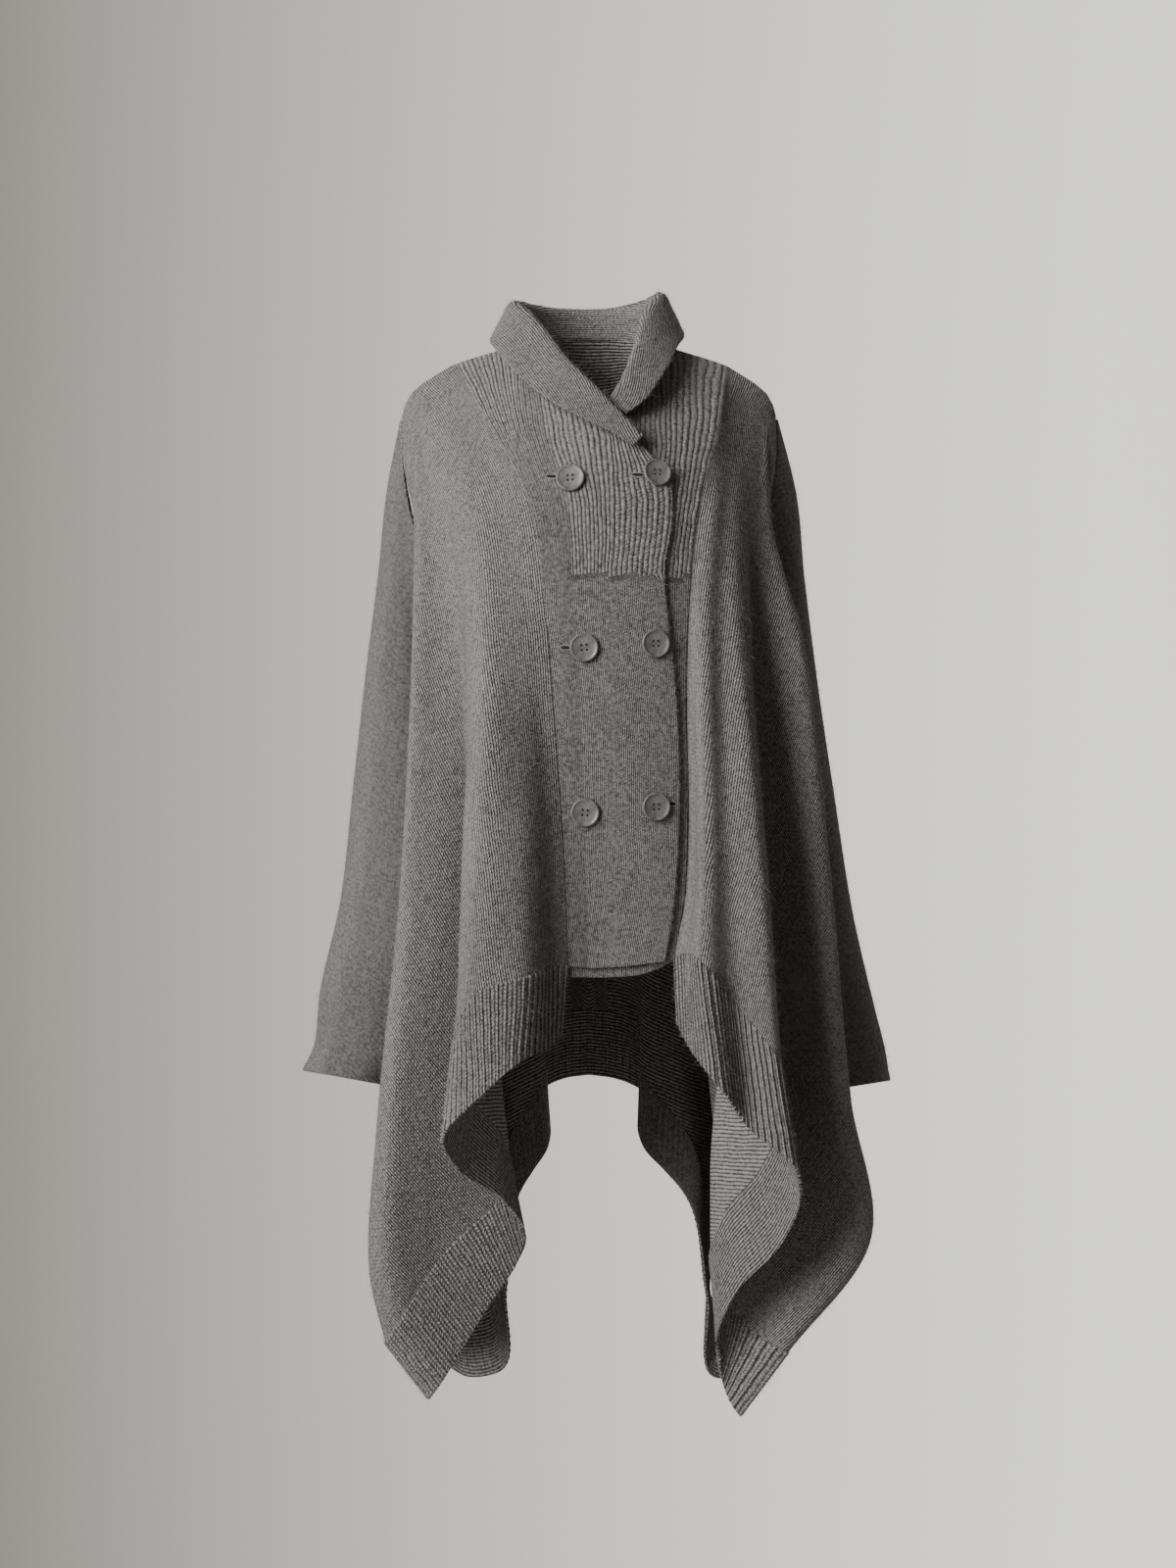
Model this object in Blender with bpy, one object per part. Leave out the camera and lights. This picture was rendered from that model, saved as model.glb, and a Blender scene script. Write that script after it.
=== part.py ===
"""Knitted wool cape coat, double-breasted, as it hangs when it is worn.

Metres, +Z up, the front faces -Y and +X is to the right of someone who looks at the front.
The origin is the middle of the neck base, where the shoulders carry the coat.
"""
import math

import bmesh
import bpy
import numpy as np
from mathutils import Vector

MM = 0.001
WALL = 2.6 * MM            # thickness of the knit
SEAM_GAP = 0.7 * MM        # between two faceted pieces at a seam: 0.35 mm from each to the seam's line
ARMHOLE_EASE = 1.8         # the sleeve starts this much further out than its wall needs
TWIST_ROOM = 0.45          # extra gap at a seam, in walls, for each radian that the wall turns there
LAYER_STEP = 4.6 * MM      # from the underlap to the overlap of the fronts
READ_DISTANCE = 2600 * MM  # the tables below give widths and heights as read from this far in front
READ_HEIGHT = -425 * MM    # and from this height

WELT_RIB_PITCH = 8.0 * MM  # 2 by 2 rib of the hem welt
WELT_RIB_HEIGHT = 1.6 * MM
YOKE_COLUMNS_RIGHT = 44    # grid columns of the ribbed yokes, right and left front
YOKE_COLUMNS_LEFT = 28
YOKE_RIB_HEIGHT = 1.0 * MM
COLLAR_RIB_HEIGHT = 0.7 * MM
COLLAR_LIFT = 3.6 * MM     # of the collar above the neck edge that it is sewn to
COLLAR_CROSSING = 20 * MM  # across, where the left end goes under the right end
COLLAR_ROWS = 27
COLLAR_COLUMNS = 13

BUTTON_RADIUS = 14.0 * MM
BUTTON_THICKNESS = 3.4 * MM
BUTTON_RIM_WIDTH = 2.2 * MM
BUTTON_DISH_DEPTH = 1.0 * MM
BUTTON_SIDES = 18
BUTTON_STAND = 0.5 * MM    # shank of thread between the cloth and a button

STATIONS = ("shoulder", "yoke", "chest", "bust", "waist", "hip", "low", "tail", "band", "hem")
WAIST = STATIONS.index("waist")     # the underarm is at this station
BAND = STATIONS.index("band")       # the welt starts here
HEM = STATIONS.index("hem")

# Each row of the next tables is one line of the cloth from the shoulder to the hem. A triple is
# across, up and depth in millimetres, at each of the stations.
WING_RIGHT = {
    "crown": ((-146, -4, -2), (-122, -62, -66), (-92, -140, -110), (-81, -240, -134), (-74, -345, -148),
              (-69, -470, -160), (-69, -545, -166), (-69, -585, -170), (-69, -624, -174), (-74, -711, -184)),
    "ridge": ((-154, -11, 0), (-140, -66, -56), (-116, -150, -104), (-106, -250, -134), (-104, -355, -158),
              (-107, -480, -168), (-111, -560, -174), (-113, -600, -177), (-115, -640, -180), (-110, -744, -186)),
    "fold_a": ((-161, -15, 1), (-151, -71, -50), (-132, -156, -92), (-122, -256, -116), (-120, -364, -136),
               (-126, -495, -152), (-130, -590, -160), (-132, -640, -163), (-136, -690, -166), (-146, -783, -170)),
    "fold_b": ((-168, -18, 2), (-160, -76, -44), (-143, -162, -78), (-132, -262, -90), (-122, -372, -90),
               (-108, -515, -80), (-96, -660, -72), (-88, -760, -68), (-80, -834, -64), (-64, -893, -60)),
    "strip": ((-175, -22, 3), (-168, -82, -38), (-156, -170, -66), (-150, -270, -80), (-150, -385, -90),
              (-152, -540, -94), (-154, -710, -90), (-154, -830, -84), (-150, -906, -78), (-108, -966, -68)),
    "side": ((-182, -30, 5), (-178, -88, -30), (-176, -172, -48), (-177, -270, -66), (-181, -385, -78),
             (-192, -560, -80), (-214, -780, -78), (-221, -920, -72), (-205, -992, -66), (-161, -1049, -60)),
    "pass": ((-185, -41, 6), (-184, -96, -18), (-172, -175, -32), (-162, -275, -40), (-148, -368, -40),
             (-130, -540, -42), (-134, -720, -40), (-148, -850, -36), (-164, -936, -30), (-168, -1004, -24)),
    "edge": ((-189, -50, 8), (-187, -100, -12), (-168, -177, -22), (-154, -272, -22), (-142, -330, 6),
             (-116, -500, 12), (-116, -680, 12), (-124, -810, 10), (-132, -890, 8), (-140, -958, 6)),
}
WING_LEFT = {
    "crown": ((150, -4, -2), (139, -70, -54), (126, -146, -97), (119, -238, -124), (118, -332, -142),
              (120, -460, -158), (119, -530, -166), (117, -570, -170), (115, -607, -174), (130, -730, -184)),
    "valley": ((156, -8, 0), (147, -75, -48), (137, -152, -88), (132, -246, -116), (134, -345, -132),
               (140, -475, -148), (142, -560, -153), (143, -605, -155), (146, -646, -157), (162, -776, -162)),
    "ridge": ((162, -12, 1), (154, -79, -43), (148, -157, -82), (150, -252, -112), (158, -350, -132),
              (170, -480, -152), (178, -580, -160), (183, -640, -164), (188, -700, -168), (206, -812, -174)),
    "fold_a": ((168, -16, 2), (161, -82, -38), (157, -162, -72), (162, -259, -94), (168, -360, -112),
               (179, -500, -128), (187, -620, -138), (191, -690, -144), (198, -758, -150), (215, -844, -156)),
    "fold_b": ((173, -20, 3), (167, -86, -34), (164, -167, -62), (162, -267, -76), (156, -370, -80),
               (148, -530, -76), (134, -720, -66), (126, -830, -60), (124, -922, -56), (129, -995, -52)),
    "strip": ((178, -25, 4), (174, -90, -29), (174, -172, -54), (184, -271, -70), (190, -380, -74),
              (198, -540, -70), (206, -730, -60), (208, -860, -50), (170, -986, -36), (140, -1046, -30)),
    "side": ((183, -32, 5), (180, -93, -25), (186, -172, -42), (214, -272, -60), (228, -370, -70),
             (245, -540, -74), (264, -748, -70), (283, -892, -62), (200, -1002, -40), (152, -1066, -30)),
    "pass": ((187, -41, 6), (186, -97, -18), (178, -176, -32), (167, -275, -40), (150, -365, -38),
             (132, -530, -40), (144, -720, -34), (172, -850, -20), (184, -950, -4), (172, -1022, -2)),
    "edge": ((189, -50, 8), (188, -100, -12), (170, -177, -22), (156, -275, -22), (143, -330, 6),
             (118, -500, 14), (118, -680, 14), (132, -810, 14), (146, -890, 12), (156, -958, 10)),
}
# The left half of the back hangs wider at the hem: extra width there for each of its lines, in mm.
BACK_LEFT_SPREAD = {"side": 16, "tail": 36, "inside": 26, "lobe": 12, "hollow": 4}
# Back half of an armhole, down to the underarm; below it the back meets the wing at the side seam.
BACK_ARMHOLE = ((-189, -50, 8), (-186, -98, 40), (-166, -176, 60), (-152, -270, 54))
# Right half of the back, from beside the armhole and side seam to the middle; the left half mirrors it.
BACK_HALF = {
    "pass": ((-184, -38, 11), (-180, -92, 50), (-172, -174, 76), (-164, -272, 80), (-146, -370, 66),
             (-132, -540, 64), (-136, -720, 64), (-142, -850, 66), (-148, -920, 68), (-152, -990, 68)),
    "side": ((-178, -26, 10), (-172, -84, 60), (-168, -172, 92), (-170, -275, 104), (-178, -390, 104),
             (-186, -560, 106), (-190, -740, 110), (-186, -860, 112), (-178, -930, 114), (-162, -1004, 116)),
    "tail": ((-168, -18, 9), (-156, -78, 70), (-148, -168, 108), (-146, -275, 122), (-148, -400, 128),
             (-146, -580, 132), (-140, -760, 134), (-134, -880, 134), (-128, -965, 132), (-115, -1034, 126)),
    "inside": ((-156, -10, 8), (-134, -66, 84), (-120, -160, 120), (-112, -270, 128), (-106, -400, 120),
               (-96, -540, 106), (-88, -660, 94), (-82, -720, 86), (-78, -778, 80), (-71, -842, 74)),
    "lobe": ((-140, 0, 6), (-112, -58, 90), (-92, -150, 126), (-80, -265, 134), (-70, -395, 128),
             (-60, -520, 118), (-52, -620, 108), (-48, -670, 104), (-44, -718, 100), (-38, -786, 96)),
    "hollow": ((-122, 8, 4), (-88, -50, 92), (-62, -140, 130), (-50, -260, 142), (-44, -390, 146),
               (-42, -510, 148), (-42, -590, 148), (-44, -632, 148), (-46, -668, 146), (-49, -738, 144)),
    "neck": ((-84, 18, 0), (-54, -34, 84), (-32, -130, 130), (-24, -255, 146), (-20, -385, 154),
             (-18, -500, 160), (-18, -570, 160), (-18, -618, 158), (-18, -656, 156), (-18, -724, 154)),
    "nape": ((-46, 26, 46), (-26, -30, 88), (-16, -128, 130), (-12, -252, 146), (-10, -382, 155),
             (-9, -500, 161), (-9, -570, 161), (-9, -617, 159), (-9, -655, 157), (-9, -723, 155)),
    "centre": ((0, 27, 58), (0, -28, 92), (0, -125, 130), (0, -250, 146), (0, -380, 156),
               (0, -500, 162), (0, -570, 162), (0, -616, 160), (0, -654, 158), (0, -722, 156)),
}
# Centre fronts: across and up at the stations from the shoulder to the band, whose depth is the chest's.
FRONT_RIGHT = {
    "free_edge": ((56, -82), (72, -100), (84, -124), (77, -205), (87, -312), (92, -450), (87, -545), (82, -580),
                  (77, -606)),
    "front": ((18, -62), (22, -95), (24, -135), (22, -215), (24, -320), (26, -455), (26, -545), (26, -580),
              (26, -612)),
    "neck": ((-48, -22), (-42, -70), (-24, -132), (-16, -220), (-10, -325), (-4, -458), (-2, -545), (-2, -580),
             (-2, -613)),
    "neck_side": ((-84, 18), (-72, -58), (-46, -130), (-33, -224), (-25, -330), (-17, -462), (-14, -545),
                  (-13, -580), (-13, -612)),
    "seam": ((-135, 3), (-102, -58), (-63, -130), (-46, -228), (-37, -335), (-28, -465), (-24, -545), (-23, -580),
             (-22, -610)),
}
FRONT_LEFT = {
    "free_edge": ((-26, -48), (-28, -80), (-28, -130), (-28, -225), (-26, -325), (-24, -460), (-22, -545),
                  (-21, -586), (-20, -622)),
    "front": ((18, -56), (22, -90), (24, -135), (22, -220), (24, -322), (26, -457), (26, -545), (26, -586),
              (26, -622)),
    "neck": ((50, -22), (50, -68), (50, -130), (48, -220), (50, -322), (54, -456), (54, -545), (54, -584),
             (54, -619)),
    "neck_side": ((84, 18), (86, -60), (82, -134), (73, -222), (72, -322), (73, -456), (73, -545), (73, -578),
                  (73, -612)),
    "seam": ((140, 0), (130, -66), (113, -140), (104, -225), (101, -325), (103, -458), (99, -545),
             (93, -575), (88, -603)),
}
WELT_START_RIGHT = (-30, -682)      # lower corner of the right welt at the centre front
WELT_START_LEFT = (92, -668)

# Sleeves: outer edge across and up, inner edge across and up, middle depth and half depth of each ring.
SLEEVE_RIGHT = {
    "cap": (-202, -112, -158, -352, 20, 39), "arm": (-213, -210, -155, -400, 18, 41),
    "above_elbow": (-225, -305, -150, -440, 16, 44), "elbow": (-239, -430, -142, -505, 16, 44),
    "forearm": (-252, -545, -152, -592, 14, 44), "wrist": (-273, -640, -174, -664, 12, 42),
    "turn": (-279, -693, -190, -708, 10, 42), "cuff": (-290, -718, -206, -732, 10, 43),
}
SLEEVE_LEFT = {
    "cap": (207, -116, 160, -352, 20, 39), "arm": (218, -216, 157, -400, 18, 41),
    "above_elbow": (230, -312, 153, -440, 16, 44), "elbow": (249, -440, 146, -505, 16, 44),
    "forearm": (268, -560, 162, -600, 14, 44), "wrist": (290, -655, 188, -680, 12, 42),
    "turn": (301, -700, 204, -716, 10, 42), "cuff": (305, -728, 216, -742, 10, 43),
}
# Depth of the chest in front of the neck, by the drop below the shoulder line, in millimetres.
CHEST_DROP = (-10, 0, 20, 60, 100, 140, 220, 320, 420, 640, 800)
CHEST_DEPTH = (0, 0, -34, -78, -102, -116, -132, -132, -127, -120, -118)
# The shoulder seam: up and depth by the distance from the middle.
SHOULDER_ACROSS = (84, 96, 120, 140, 155, 168, 180, 186, 189)
SHOULDER_UP = (18, 14, 7, 0, -9, -17, -27, -38, -50)
SHOULDER_DEPTH = (0, 0, 1, 2, 3, 4, 6, 7, 8)
# Shawl collar: each row is a place along it, from its right end over the back neck to its left end.
# Across, up and depth of the neck seam, of the roll and of the fall edge.
COLLAR = (
    ((48, -69, -110), (54, -71, -117), (45, -80, -118)),
    ((30, -60, -110), (39, -55, -116), (24, -67, -120)),
    ((8, -47, -107), (20, -35, -112), (4, -57, -120)),
    ((-20, -31, -97), (3, -17, -103), (-25, -43, -115)),
    ((-44, -13, -78), (-18, 3, -86), (-54, -24, -98)),
    ((-66, 6, -50), (-38, 28, -60), (-78, -2, -74)),
    ((-80, 24, -18), (-60, 54, -30), (-95, 18, -38)),
    ((-84, 32, 12), (-76, 66, 0), (-99, 26, 2)),
    ((-64, 36, 44), (-60, 62, 36), (-83, 33, 52)),
    ((-34, 37, 62), (-32, 58, 58), (-45, 29, 84)),
    ((0, 37, 68), (0, 57, 66), (0, 27, 94)),
    ((34, 37, 62), (34, 60, 58), (45, 30, 84)),
    ((64, 36, 44), (62, 68, 36), (83, 36, 52)),
    ((84, 31, 12), (72, 75, 0), (95, 30, 4)),
    ((82, 21, -14), (57, 56, -28), (89, 20, -32)),
    ((68, 4, -42), (50, 28, -52), (81, 2, -62)),
    ((54, -12, -66), (42, 4, -76), (70, -16, -86)),
    ((40, -26, -84), (31, -20, -90), (55, -36, -100)),
    ((26, -38, -92), (20, -36, -97), (38, -48, -106)),
)
BUTTONS = ((-18.5, -114.5), (68, -109), (-5, -285.7), (67, -281.6), (-4, -454), (67.6, -448))


def clear_scene():
    for thing in list(bpy.data.objects):
        bpy.data.objects.remove(thing, do_unlink=True)


def material(name, colour, roughness):
    made = bpy.data.materials.new(name)
    made.use_nodes = True
    shader = made.node_tree.nodes["Principled BSDF"]
    shader.inputs["Base Color"].default_value = (*colour, 1.0)
    shader.inputs["Roughness"].default_value = roughness
    shader.inputs["Metallic"].default_value = 0.0
    return made


def placed(points):
    """Carry table points (across, up, depth in mm) to their places, in metres."""
    points = np.asarray(points, float) * MM
    spread = 1 + points[..., 2] / READ_DISTANCE
    x = points[..., 0] * spread
    z = READ_HEIGHT + (points[..., 1] - READ_HEIGHT) * spread
    return np.stack([x, points[..., 2], z], axis=-1)


def through(points, places):
    """A smooth curve through the points, read at places counted in points from 0."""
    points = np.asarray(points, float)
    chord = np.linalg.norm(np.diff(points, axis=0), axis=-1)
    while chord.ndim > 1:
        chord = chord.mean(axis=-1)
    chord = np.maximum(chord, 1e-6)
    shape = (-1,) + (1,) * (points.ndim - 1)
    slope = np.diff(points, axis=0) / chord.reshape(shape)
    tangent = np.empty_like(points)
    tangent[0], tangent[-1] = slope[0], slope[-1]
    before, after = chord[:-1].reshape(shape), chord[1:].reshape(shape)
    tangent[1:-1] = (slope[:-1] * after + slope[1:] * before) / (before + after)
    places = np.clip(np.asarray(places, float), 0, len(points) - 1)
    start = np.minimum(places.astype(int), len(points) - 2)
    t = (places - start).reshape(shape)
    length = chord[start].reshape(shape)
    return ((2 * t**3 - 3 * t**2 + 1) * points[start] + (t**3 - 2 * t**2 + t) * length * tangent[start]
            + (3 * t**2 - 2 * t**3) * points[start + 1] + (t**3 - t**2) * length * tangent[start + 1])


def spread_sheet(lines, across_places, down_places):
    """Grid [down, across] through the lines, each a curve from the shoulder to the hem."""
    down = np.stack([through(line, down_places) for line in lines], axis=1)
    return np.stack([through(row, across_places) for row in down], axis=0)


def facing(grid, outward):
    """Unit normals of a grid, turned to the side that the sign outward asks for."""
    down = np.gradient(grid, axis=0)
    across = np.gradient(grid, axis=1)
    normal = np.cross(across, down)
    normal /= np.maximum(np.linalg.norm(normal, axis=-1, keepdims=True), 1e-12)
    return normal * outward


def chest_depth(across, up):
    """Depth of the chest surface of a general figure, in mm, for points read from in front."""
    shoulder_up = np.interp(np.abs(across), (0, 84, 96, 135, 187), (46, 18, 14, 4, -50))
    places = np.linspace(0, len(CHEST_DROP) - 1, 121)
    profile = through(np.column_stack([CHEST_DROP, CHEST_DEPTH]), places)
    depth = np.interp(shoulder_up - up, profile[:, 0], profile[:, 1])
    return depth * (1 - (np.abs(across) / 230) ** 2.5)


def on_chest(pairs, layer):
    """Points of a centre front on the chest; layer 0 is the underlap and 1 the overlap."""
    pairs = np.asarray(pairs, float)
    depth = chest_depth(pairs[..., 0], pairs[..., 1]) - layer * LAYER_STEP / MM
    return placed(np.concatenate([pairs, depth[..., None]], axis=-1))


def shell_mesh(name, inner, outer, closed_across=False):
    """A wall between two grids [down, across], closed along its edges."""
    downs, acrosses = inner.shape[:2]
    count = downs * acrosses
    verts = np.concatenate([inner.reshape(-1, 3), outer.reshape(-1, 3)])
    faces = []
    spans = acrosses if closed_across else acrosses - 1
    for i in range(downs - 1):
        for j in range(spans):
            a, b = i * acrosses + j, i * acrosses + (j + 1) % acrosses
            c, d = b + acrosses, a + acrosses
            faces.append((a, b, c, d))
            faces.append((count + d, count + c, count + b, count + a))
    for j in range(spans):
        k = (j + 1) % acrosses
        last = (downs - 1) * acrosses
        faces.append((j, count + j, count + k, k))
        faces.append((last + k, count + last + k, count + last + j, last + j))
    if not closed_across:
        for i in range(downs - 1):
            a, d = i * acrosses, (i + 1) * acrosses
            faces.append((a, d, count + d, count + a))
            a, d = a + acrosses - 1, d + acrosses - 1
            faces.append((a, count + a, count + d, d))
    mesh = bpy.data.meshes.new(name)
    mesh.from_pydata(verts.tolist(), [], faces)
    mesh.validate()
    return mesh


def finish(name, mesh, finish_material, collection):
    """Weld, turn the faces outward and put the piece in the coat's collection."""
    body = bmesh.new()
    body.from_mesh(mesh)
    bmesh.ops.remove_doubles(body, verts=body.verts, dist=1e-6)
    bmesh.ops.triangulate(body, faces=body.faces)
    bmesh.ops.recalc_face_normals(body, faces=body.faces)
    body.to_mesh(mesh)
    body.free()
    mesh.shade_smooth()
    piece = bpy.data.objects.new(name, mesh)
    mesh.materials.append(finish_material)
    collection.objects.link(piece)
    return piece


def drawn_in(grid, normal, side):
    """Copy of a grid whose first or last row or column is moved towards its neighbour.

    It moves by half the seam's gap, and by more where the faceted wall twists along the edge.
    """
    grid = grid.copy()
    turned = {"first": (grid, normal), "last": (grid[:, ::-1], normal[:, ::-1]),
              "top": (grid.swapaxes(0, 1), normal.swapaxes(0, 1)),
              "bottom": (grid.swapaxes(0, 1)[:, ::-1], normal.swapaxes(0, 1)[:, ::-1])}
    view, normals = turned[side]
    step = view[:, 1] - view[:, 0]
    step /= np.maximum(np.linalg.norm(step, axis=-1, keepdims=True), 1e-12)
    along = np.gradient(view[:, 0], axis=0)
    along /= np.maximum(np.linalg.norm(along, axis=-1, keepdims=True), 1e-12)
    square = np.maximum(np.linalg.norm(np.cross(step, along), axis=-1, keepdims=True), 0.35)
    turn = np.linalg.norm(np.diff(normals[:, 0], axis=0), axis=-1, keepdims=True)
    twist = np.maximum(np.vstack([turn[:1], turn]), np.vstack([turn, turn[-1:]]))
    view[:, 0] += step * (SEAM_GAP / 2 + TWIST_ROOM * WALL * twist) / square
    return grid


def rib_wave(count):
    """Height, from 0 to 1, of the columns of a rib: every second column stands up."""
    return np.arange(count) % 2.0


def on_shoulder_line(grid, sign):
    """Seat the first row of a grid on the shoulder seam, outside the neck."""
    row = grid[0]
    depth = np.abs(np.interp(np.abs(row[:, 0]) / MM, SHOULDER_ACROSS, SHOULDER_DEPTH))
    up = np.interp(np.abs(row[:, 0]) / MM, SHOULDER_ACROSS, SHOULDER_UP)
    seat = placed(np.column_stack([row[:, 0] / MM, up, depth]))
    seat[:, 0] = row[:, 0]
    seat[:, 1] += sign * SEAM_GAP
    beyond = np.abs(row[:, 0]) >= SHOULDER_ACROSS[0] * MM - 1e-4
    row[beyond] = seat[beyond]
    return grid


# Half depth of the rolled side fold at each station.
FOLD_ROLL = np.outer(np.interp(range(len(STATIONS)), (0, 1, 2, 4), (0, 0.8, 3, 9)), (0, MM, 0))
# The fold's two lines start side by side on the shoulder seam.
FOLD_SPREAD = np.outer(np.arange(len(STATIONS)) == 0, (0.004, 0, 0))
DOWN_PLACES = np.array([0, .5, 1, 1.5, 2, 2.5, 3, 3.5, 4, 5, 6, 7, 8, 9])
UNDERARM_ROW = int(np.flatnonzero(DOWN_PLACES == WAIST)[0])
BAND_ROW = int(np.flatnonzero(DOWN_PLACES == BAND)[0])
COLUMNS_PER_LINE = 3


def front_lines(front, wing, welt_start, layer):
    """All lines of one half of the front, from its free edge round to the side seam."""
    lines = []
    for name, pairs in front.items():
        last = welt_start if name == "seam" else (pairs[-1][0], pairs[-1][1] - 1)
        lines.append(on_chest(pairs + (last,), layer))
    for name, line in wing.items():
        if name == "side":
            middle = placed(line)
            lines += [middle * (1 - FOLD_SPREAD) - FOLD_ROLL, middle * (1 + FOLD_SPREAD) + FOLD_ROLL]
        else:
            lines.append(placed(line))
    return lines


def front_grid(front, wing, welt_start, layer, rib_columns, outward):
    lines = front_lines(front, wing, welt_start, layer)
    seam = list(front).index("seam")
    across = np.concatenate([np.linspace(0, seam, rib_columns + 1),
                             np.linspace(seam, len(lines) - 1, COLUMNS_PER_LINE * (len(lines) - 1 - seam) + 1)[1:]])
    grid = on_shoulder_line(spread_sheet(lines, across, DOWN_PLACES), -1)
    flat_lines = [through(pairs + (pairs[-1],), DOWN_PLACES) for pairs in front.values()]
    flat = np.stack([through(row, across[:rib_columns + 1]) for row in np.stack(flat_lines, axis=1)])
    grid[1:BAND_ROW + 1, :rib_columns + 1] = on_chest(flat, layer)[1:BAND_ROW + 1]
    return grid, facing(grid, outward), rib_columns


def back_lines(wing_right_edge, wing_left_edge):
    mirror = np.array([-1, 1, 1])
    half = [placed(line) for line in BACK_HALF.values()]
    other = []
    for name, line in BACK_HALF.items():
        spread = np.interp(range(len(STATIONS)), (WAIST, HEM), (0, BACK_LEFT_SPREAD.get(name, 0)))
        other.append(placed(line * mirror + np.outer(spread, (1, 0, 0))))
    armhole = placed(BACK_ARMHOLE)
    right = np.vstack([armhole, wing_right_edge[WAIST:]])
    left = np.vstack([armhole * mirror, wing_left_edge[WAIST:]])
    return [right] + half + other[-2::-1] + [left]


def wall(name, grid, normal, rib, finish_material, collection):
    """A knitted wall on a grid; rib is the extra height of the outer points."""
    thickness = WALL + (rib if np.ndim(rib) == 0 else np.asarray(rib)[..., None])
    return finish(name, shell_mesh(name, grid, grid + normal * thickness), finish_material, collection)


def welt_mesh(name, inner, outer):
    """A wall whose outer side has two columns, and whose inner side has one, for each rib."""
    columns = outer.shape[1]
    inner = inner[:, ::2]
    ribs = inner.shape[1] - 1
    verts = np.concatenate([outer.reshape(-1, 3), inner.reshape(-1, 3)])
    base = 2 * columns
    faces = [(j, j + 1, columns + j + 1, columns + j) for j in range(columns - 1)]
    for k in range(ribs):
        a, b, c = 2 * k, 2 * k + 1, 2 * k + 2
        top, low = base + k, base + ribs + 1 + k
        faces.append((top, low, low + 1, top + 1))
        faces.append((top, top + 1, c, b, a))
        faces.append((low + 1, low, columns + a, columns + b, columns + c))
    faces.append((0, columns, base + ribs + 1, base))
    faces.append((columns - 1, base + ribs, base + 2 * ribs + 1, 2 * columns - 1))
    mesh = bpy.data.meshes.new(name)
    mesh.from_pydata(verts.tolist(), [], faces)
    return mesh


def welt(name, grid, normal, finish_material, collection):
    """The ribbed hem between the last two rows of a grid; its columns follow the rib's pitch."""
    for side in ("top", "first", "first", "last"):
        grid = drawn_in(grid, normal, side)
    hem = np.concatenate([[0], np.cumsum(np.linalg.norm(np.diff(grid[-1], axis=0), axis=-1))])
    count = 2 * int(round(hem[-1] / WELT_RIB_PITCH)) + 1
    place = np.interp(np.linspace(0, hem[-1], count), hem, np.arange(len(hem)))
    start = np.minimum(place.astype(int), grid.shape[1] - 2)
    part = (place - start)[:, None]
    fine = grid[:, start] * (1 - part) + grid[:, start + 1] * part
    fine_normal = normal[:, start] * (1 - part) + normal[:, start + 1] * part
    thickness = WALL + (np.arange(count) % 2)[:, None] * WELT_RIB_HEIGHT
    return finish(name, welt_mesh(name, fine, fine + fine_normal * thickness), finish_material, collection)


def sleeve(name, table, armhole, finish_material, collection):
    """A tube whose first ring follows the armhole and whose last is the open cuff.

    armhole holds the points of its loop, their normals, and the way that the body's cloth points there.
    """
    loop, loop_normal, beyond = armhole
    count = len(loop)
    turn = (np.arange(count) + 0.5) / count * 2 * math.pi
    rings = []
    for outer_x, outer_up, inner_x, inner_up, depth, half_depth in table.values():
        outer, inner = np.array((outer_x, outer_up)), np.array((inner_x, inner_up))
        middle, reach = (outer + inner) / 2, (outer - inner) / 2
        flat = middle + np.cos(turn)[:, None] * reach
        rings.append(placed(np.column_stack([flat, depth - half_depth * np.sin(turn)])))
    away = rings[0] - loop
    away /= np.linalg.norm(away, axis=1, keepdims=True)
    radial = rings[0] - rings[0].mean(axis=0)
    radial /= np.linalg.norm(radial, axis=1, keepdims=True)
    past_face = (WALL + SEAM_GAP) / np.maximum((away * loop_normal).sum(axis=1), 0.05)
    back_lean = WALL * np.maximum(0, -(radial * beyond).sum(axis=1))
    past_edge = (SEAM_GAP + back_lean) / np.maximum((away * beyond).sum(axis=1), 0.05)
    start = loop + away * np.minimum(past_face, past_edge)[:, None] * ARMHOLE_EASE
    lines = np.stack([start] + rings)
    grid = through(lines, np.concatenate([np.linspace(0, 1, 3), np.arange(2, len(lines))]))
    ring = np.concatenate([grid[:, -1:], grid, grid[:, :1]], axis=1)
    normal = facing(ring, 1)[:, 1:-1]
    if ((grid - grid.mean(axis=1, keepdims=True)) * normal).sum() < 0:
        normal = -normal
    mesh = shell_mesh(name, grid, grid + normal * WALL, closed_across=True)
    return finish(name, mesh, finish_material, collection)


def armhole_loop(front, front_normal, back, back_normal, back_column):
    """Loop of an armhole: down the wing's edge to the underarm and up the back's."""
    top = slice(0, UNDERARM_ROW + 1)
    inward = {0: 1, -1: -2}[back_column]
    loop = np.vstack([front[top, -1], back[top, back_column][::-1]])
    normal = np.vstack([front_normal[top, -1], back_normal[top, back_column][::-1]])
    beyond = np.vstack([(front[:, -1] - front[:, -2])[top], (back[:, back_column] - back[:, inward])[top][::-1]])
    return loop, normal, beyond / np.linalg.norm(beyond, axis=1, keepdims=True)


def neckline(panels):
    """The neck edge of (grid, normal, least x) panels, just clear of their outer faces."""
    edges = []
    for grid, normal, least in panels:
        within = (grid[0][:, 0] > least) & (grid[0][:, 0] < SHOULDER_ACROSS[0] * MM)
        edges.append((grid[0] + normal[0] * (WALL + COLLAR_LIFT))[within])
    return np.vstack(edges)


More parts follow.
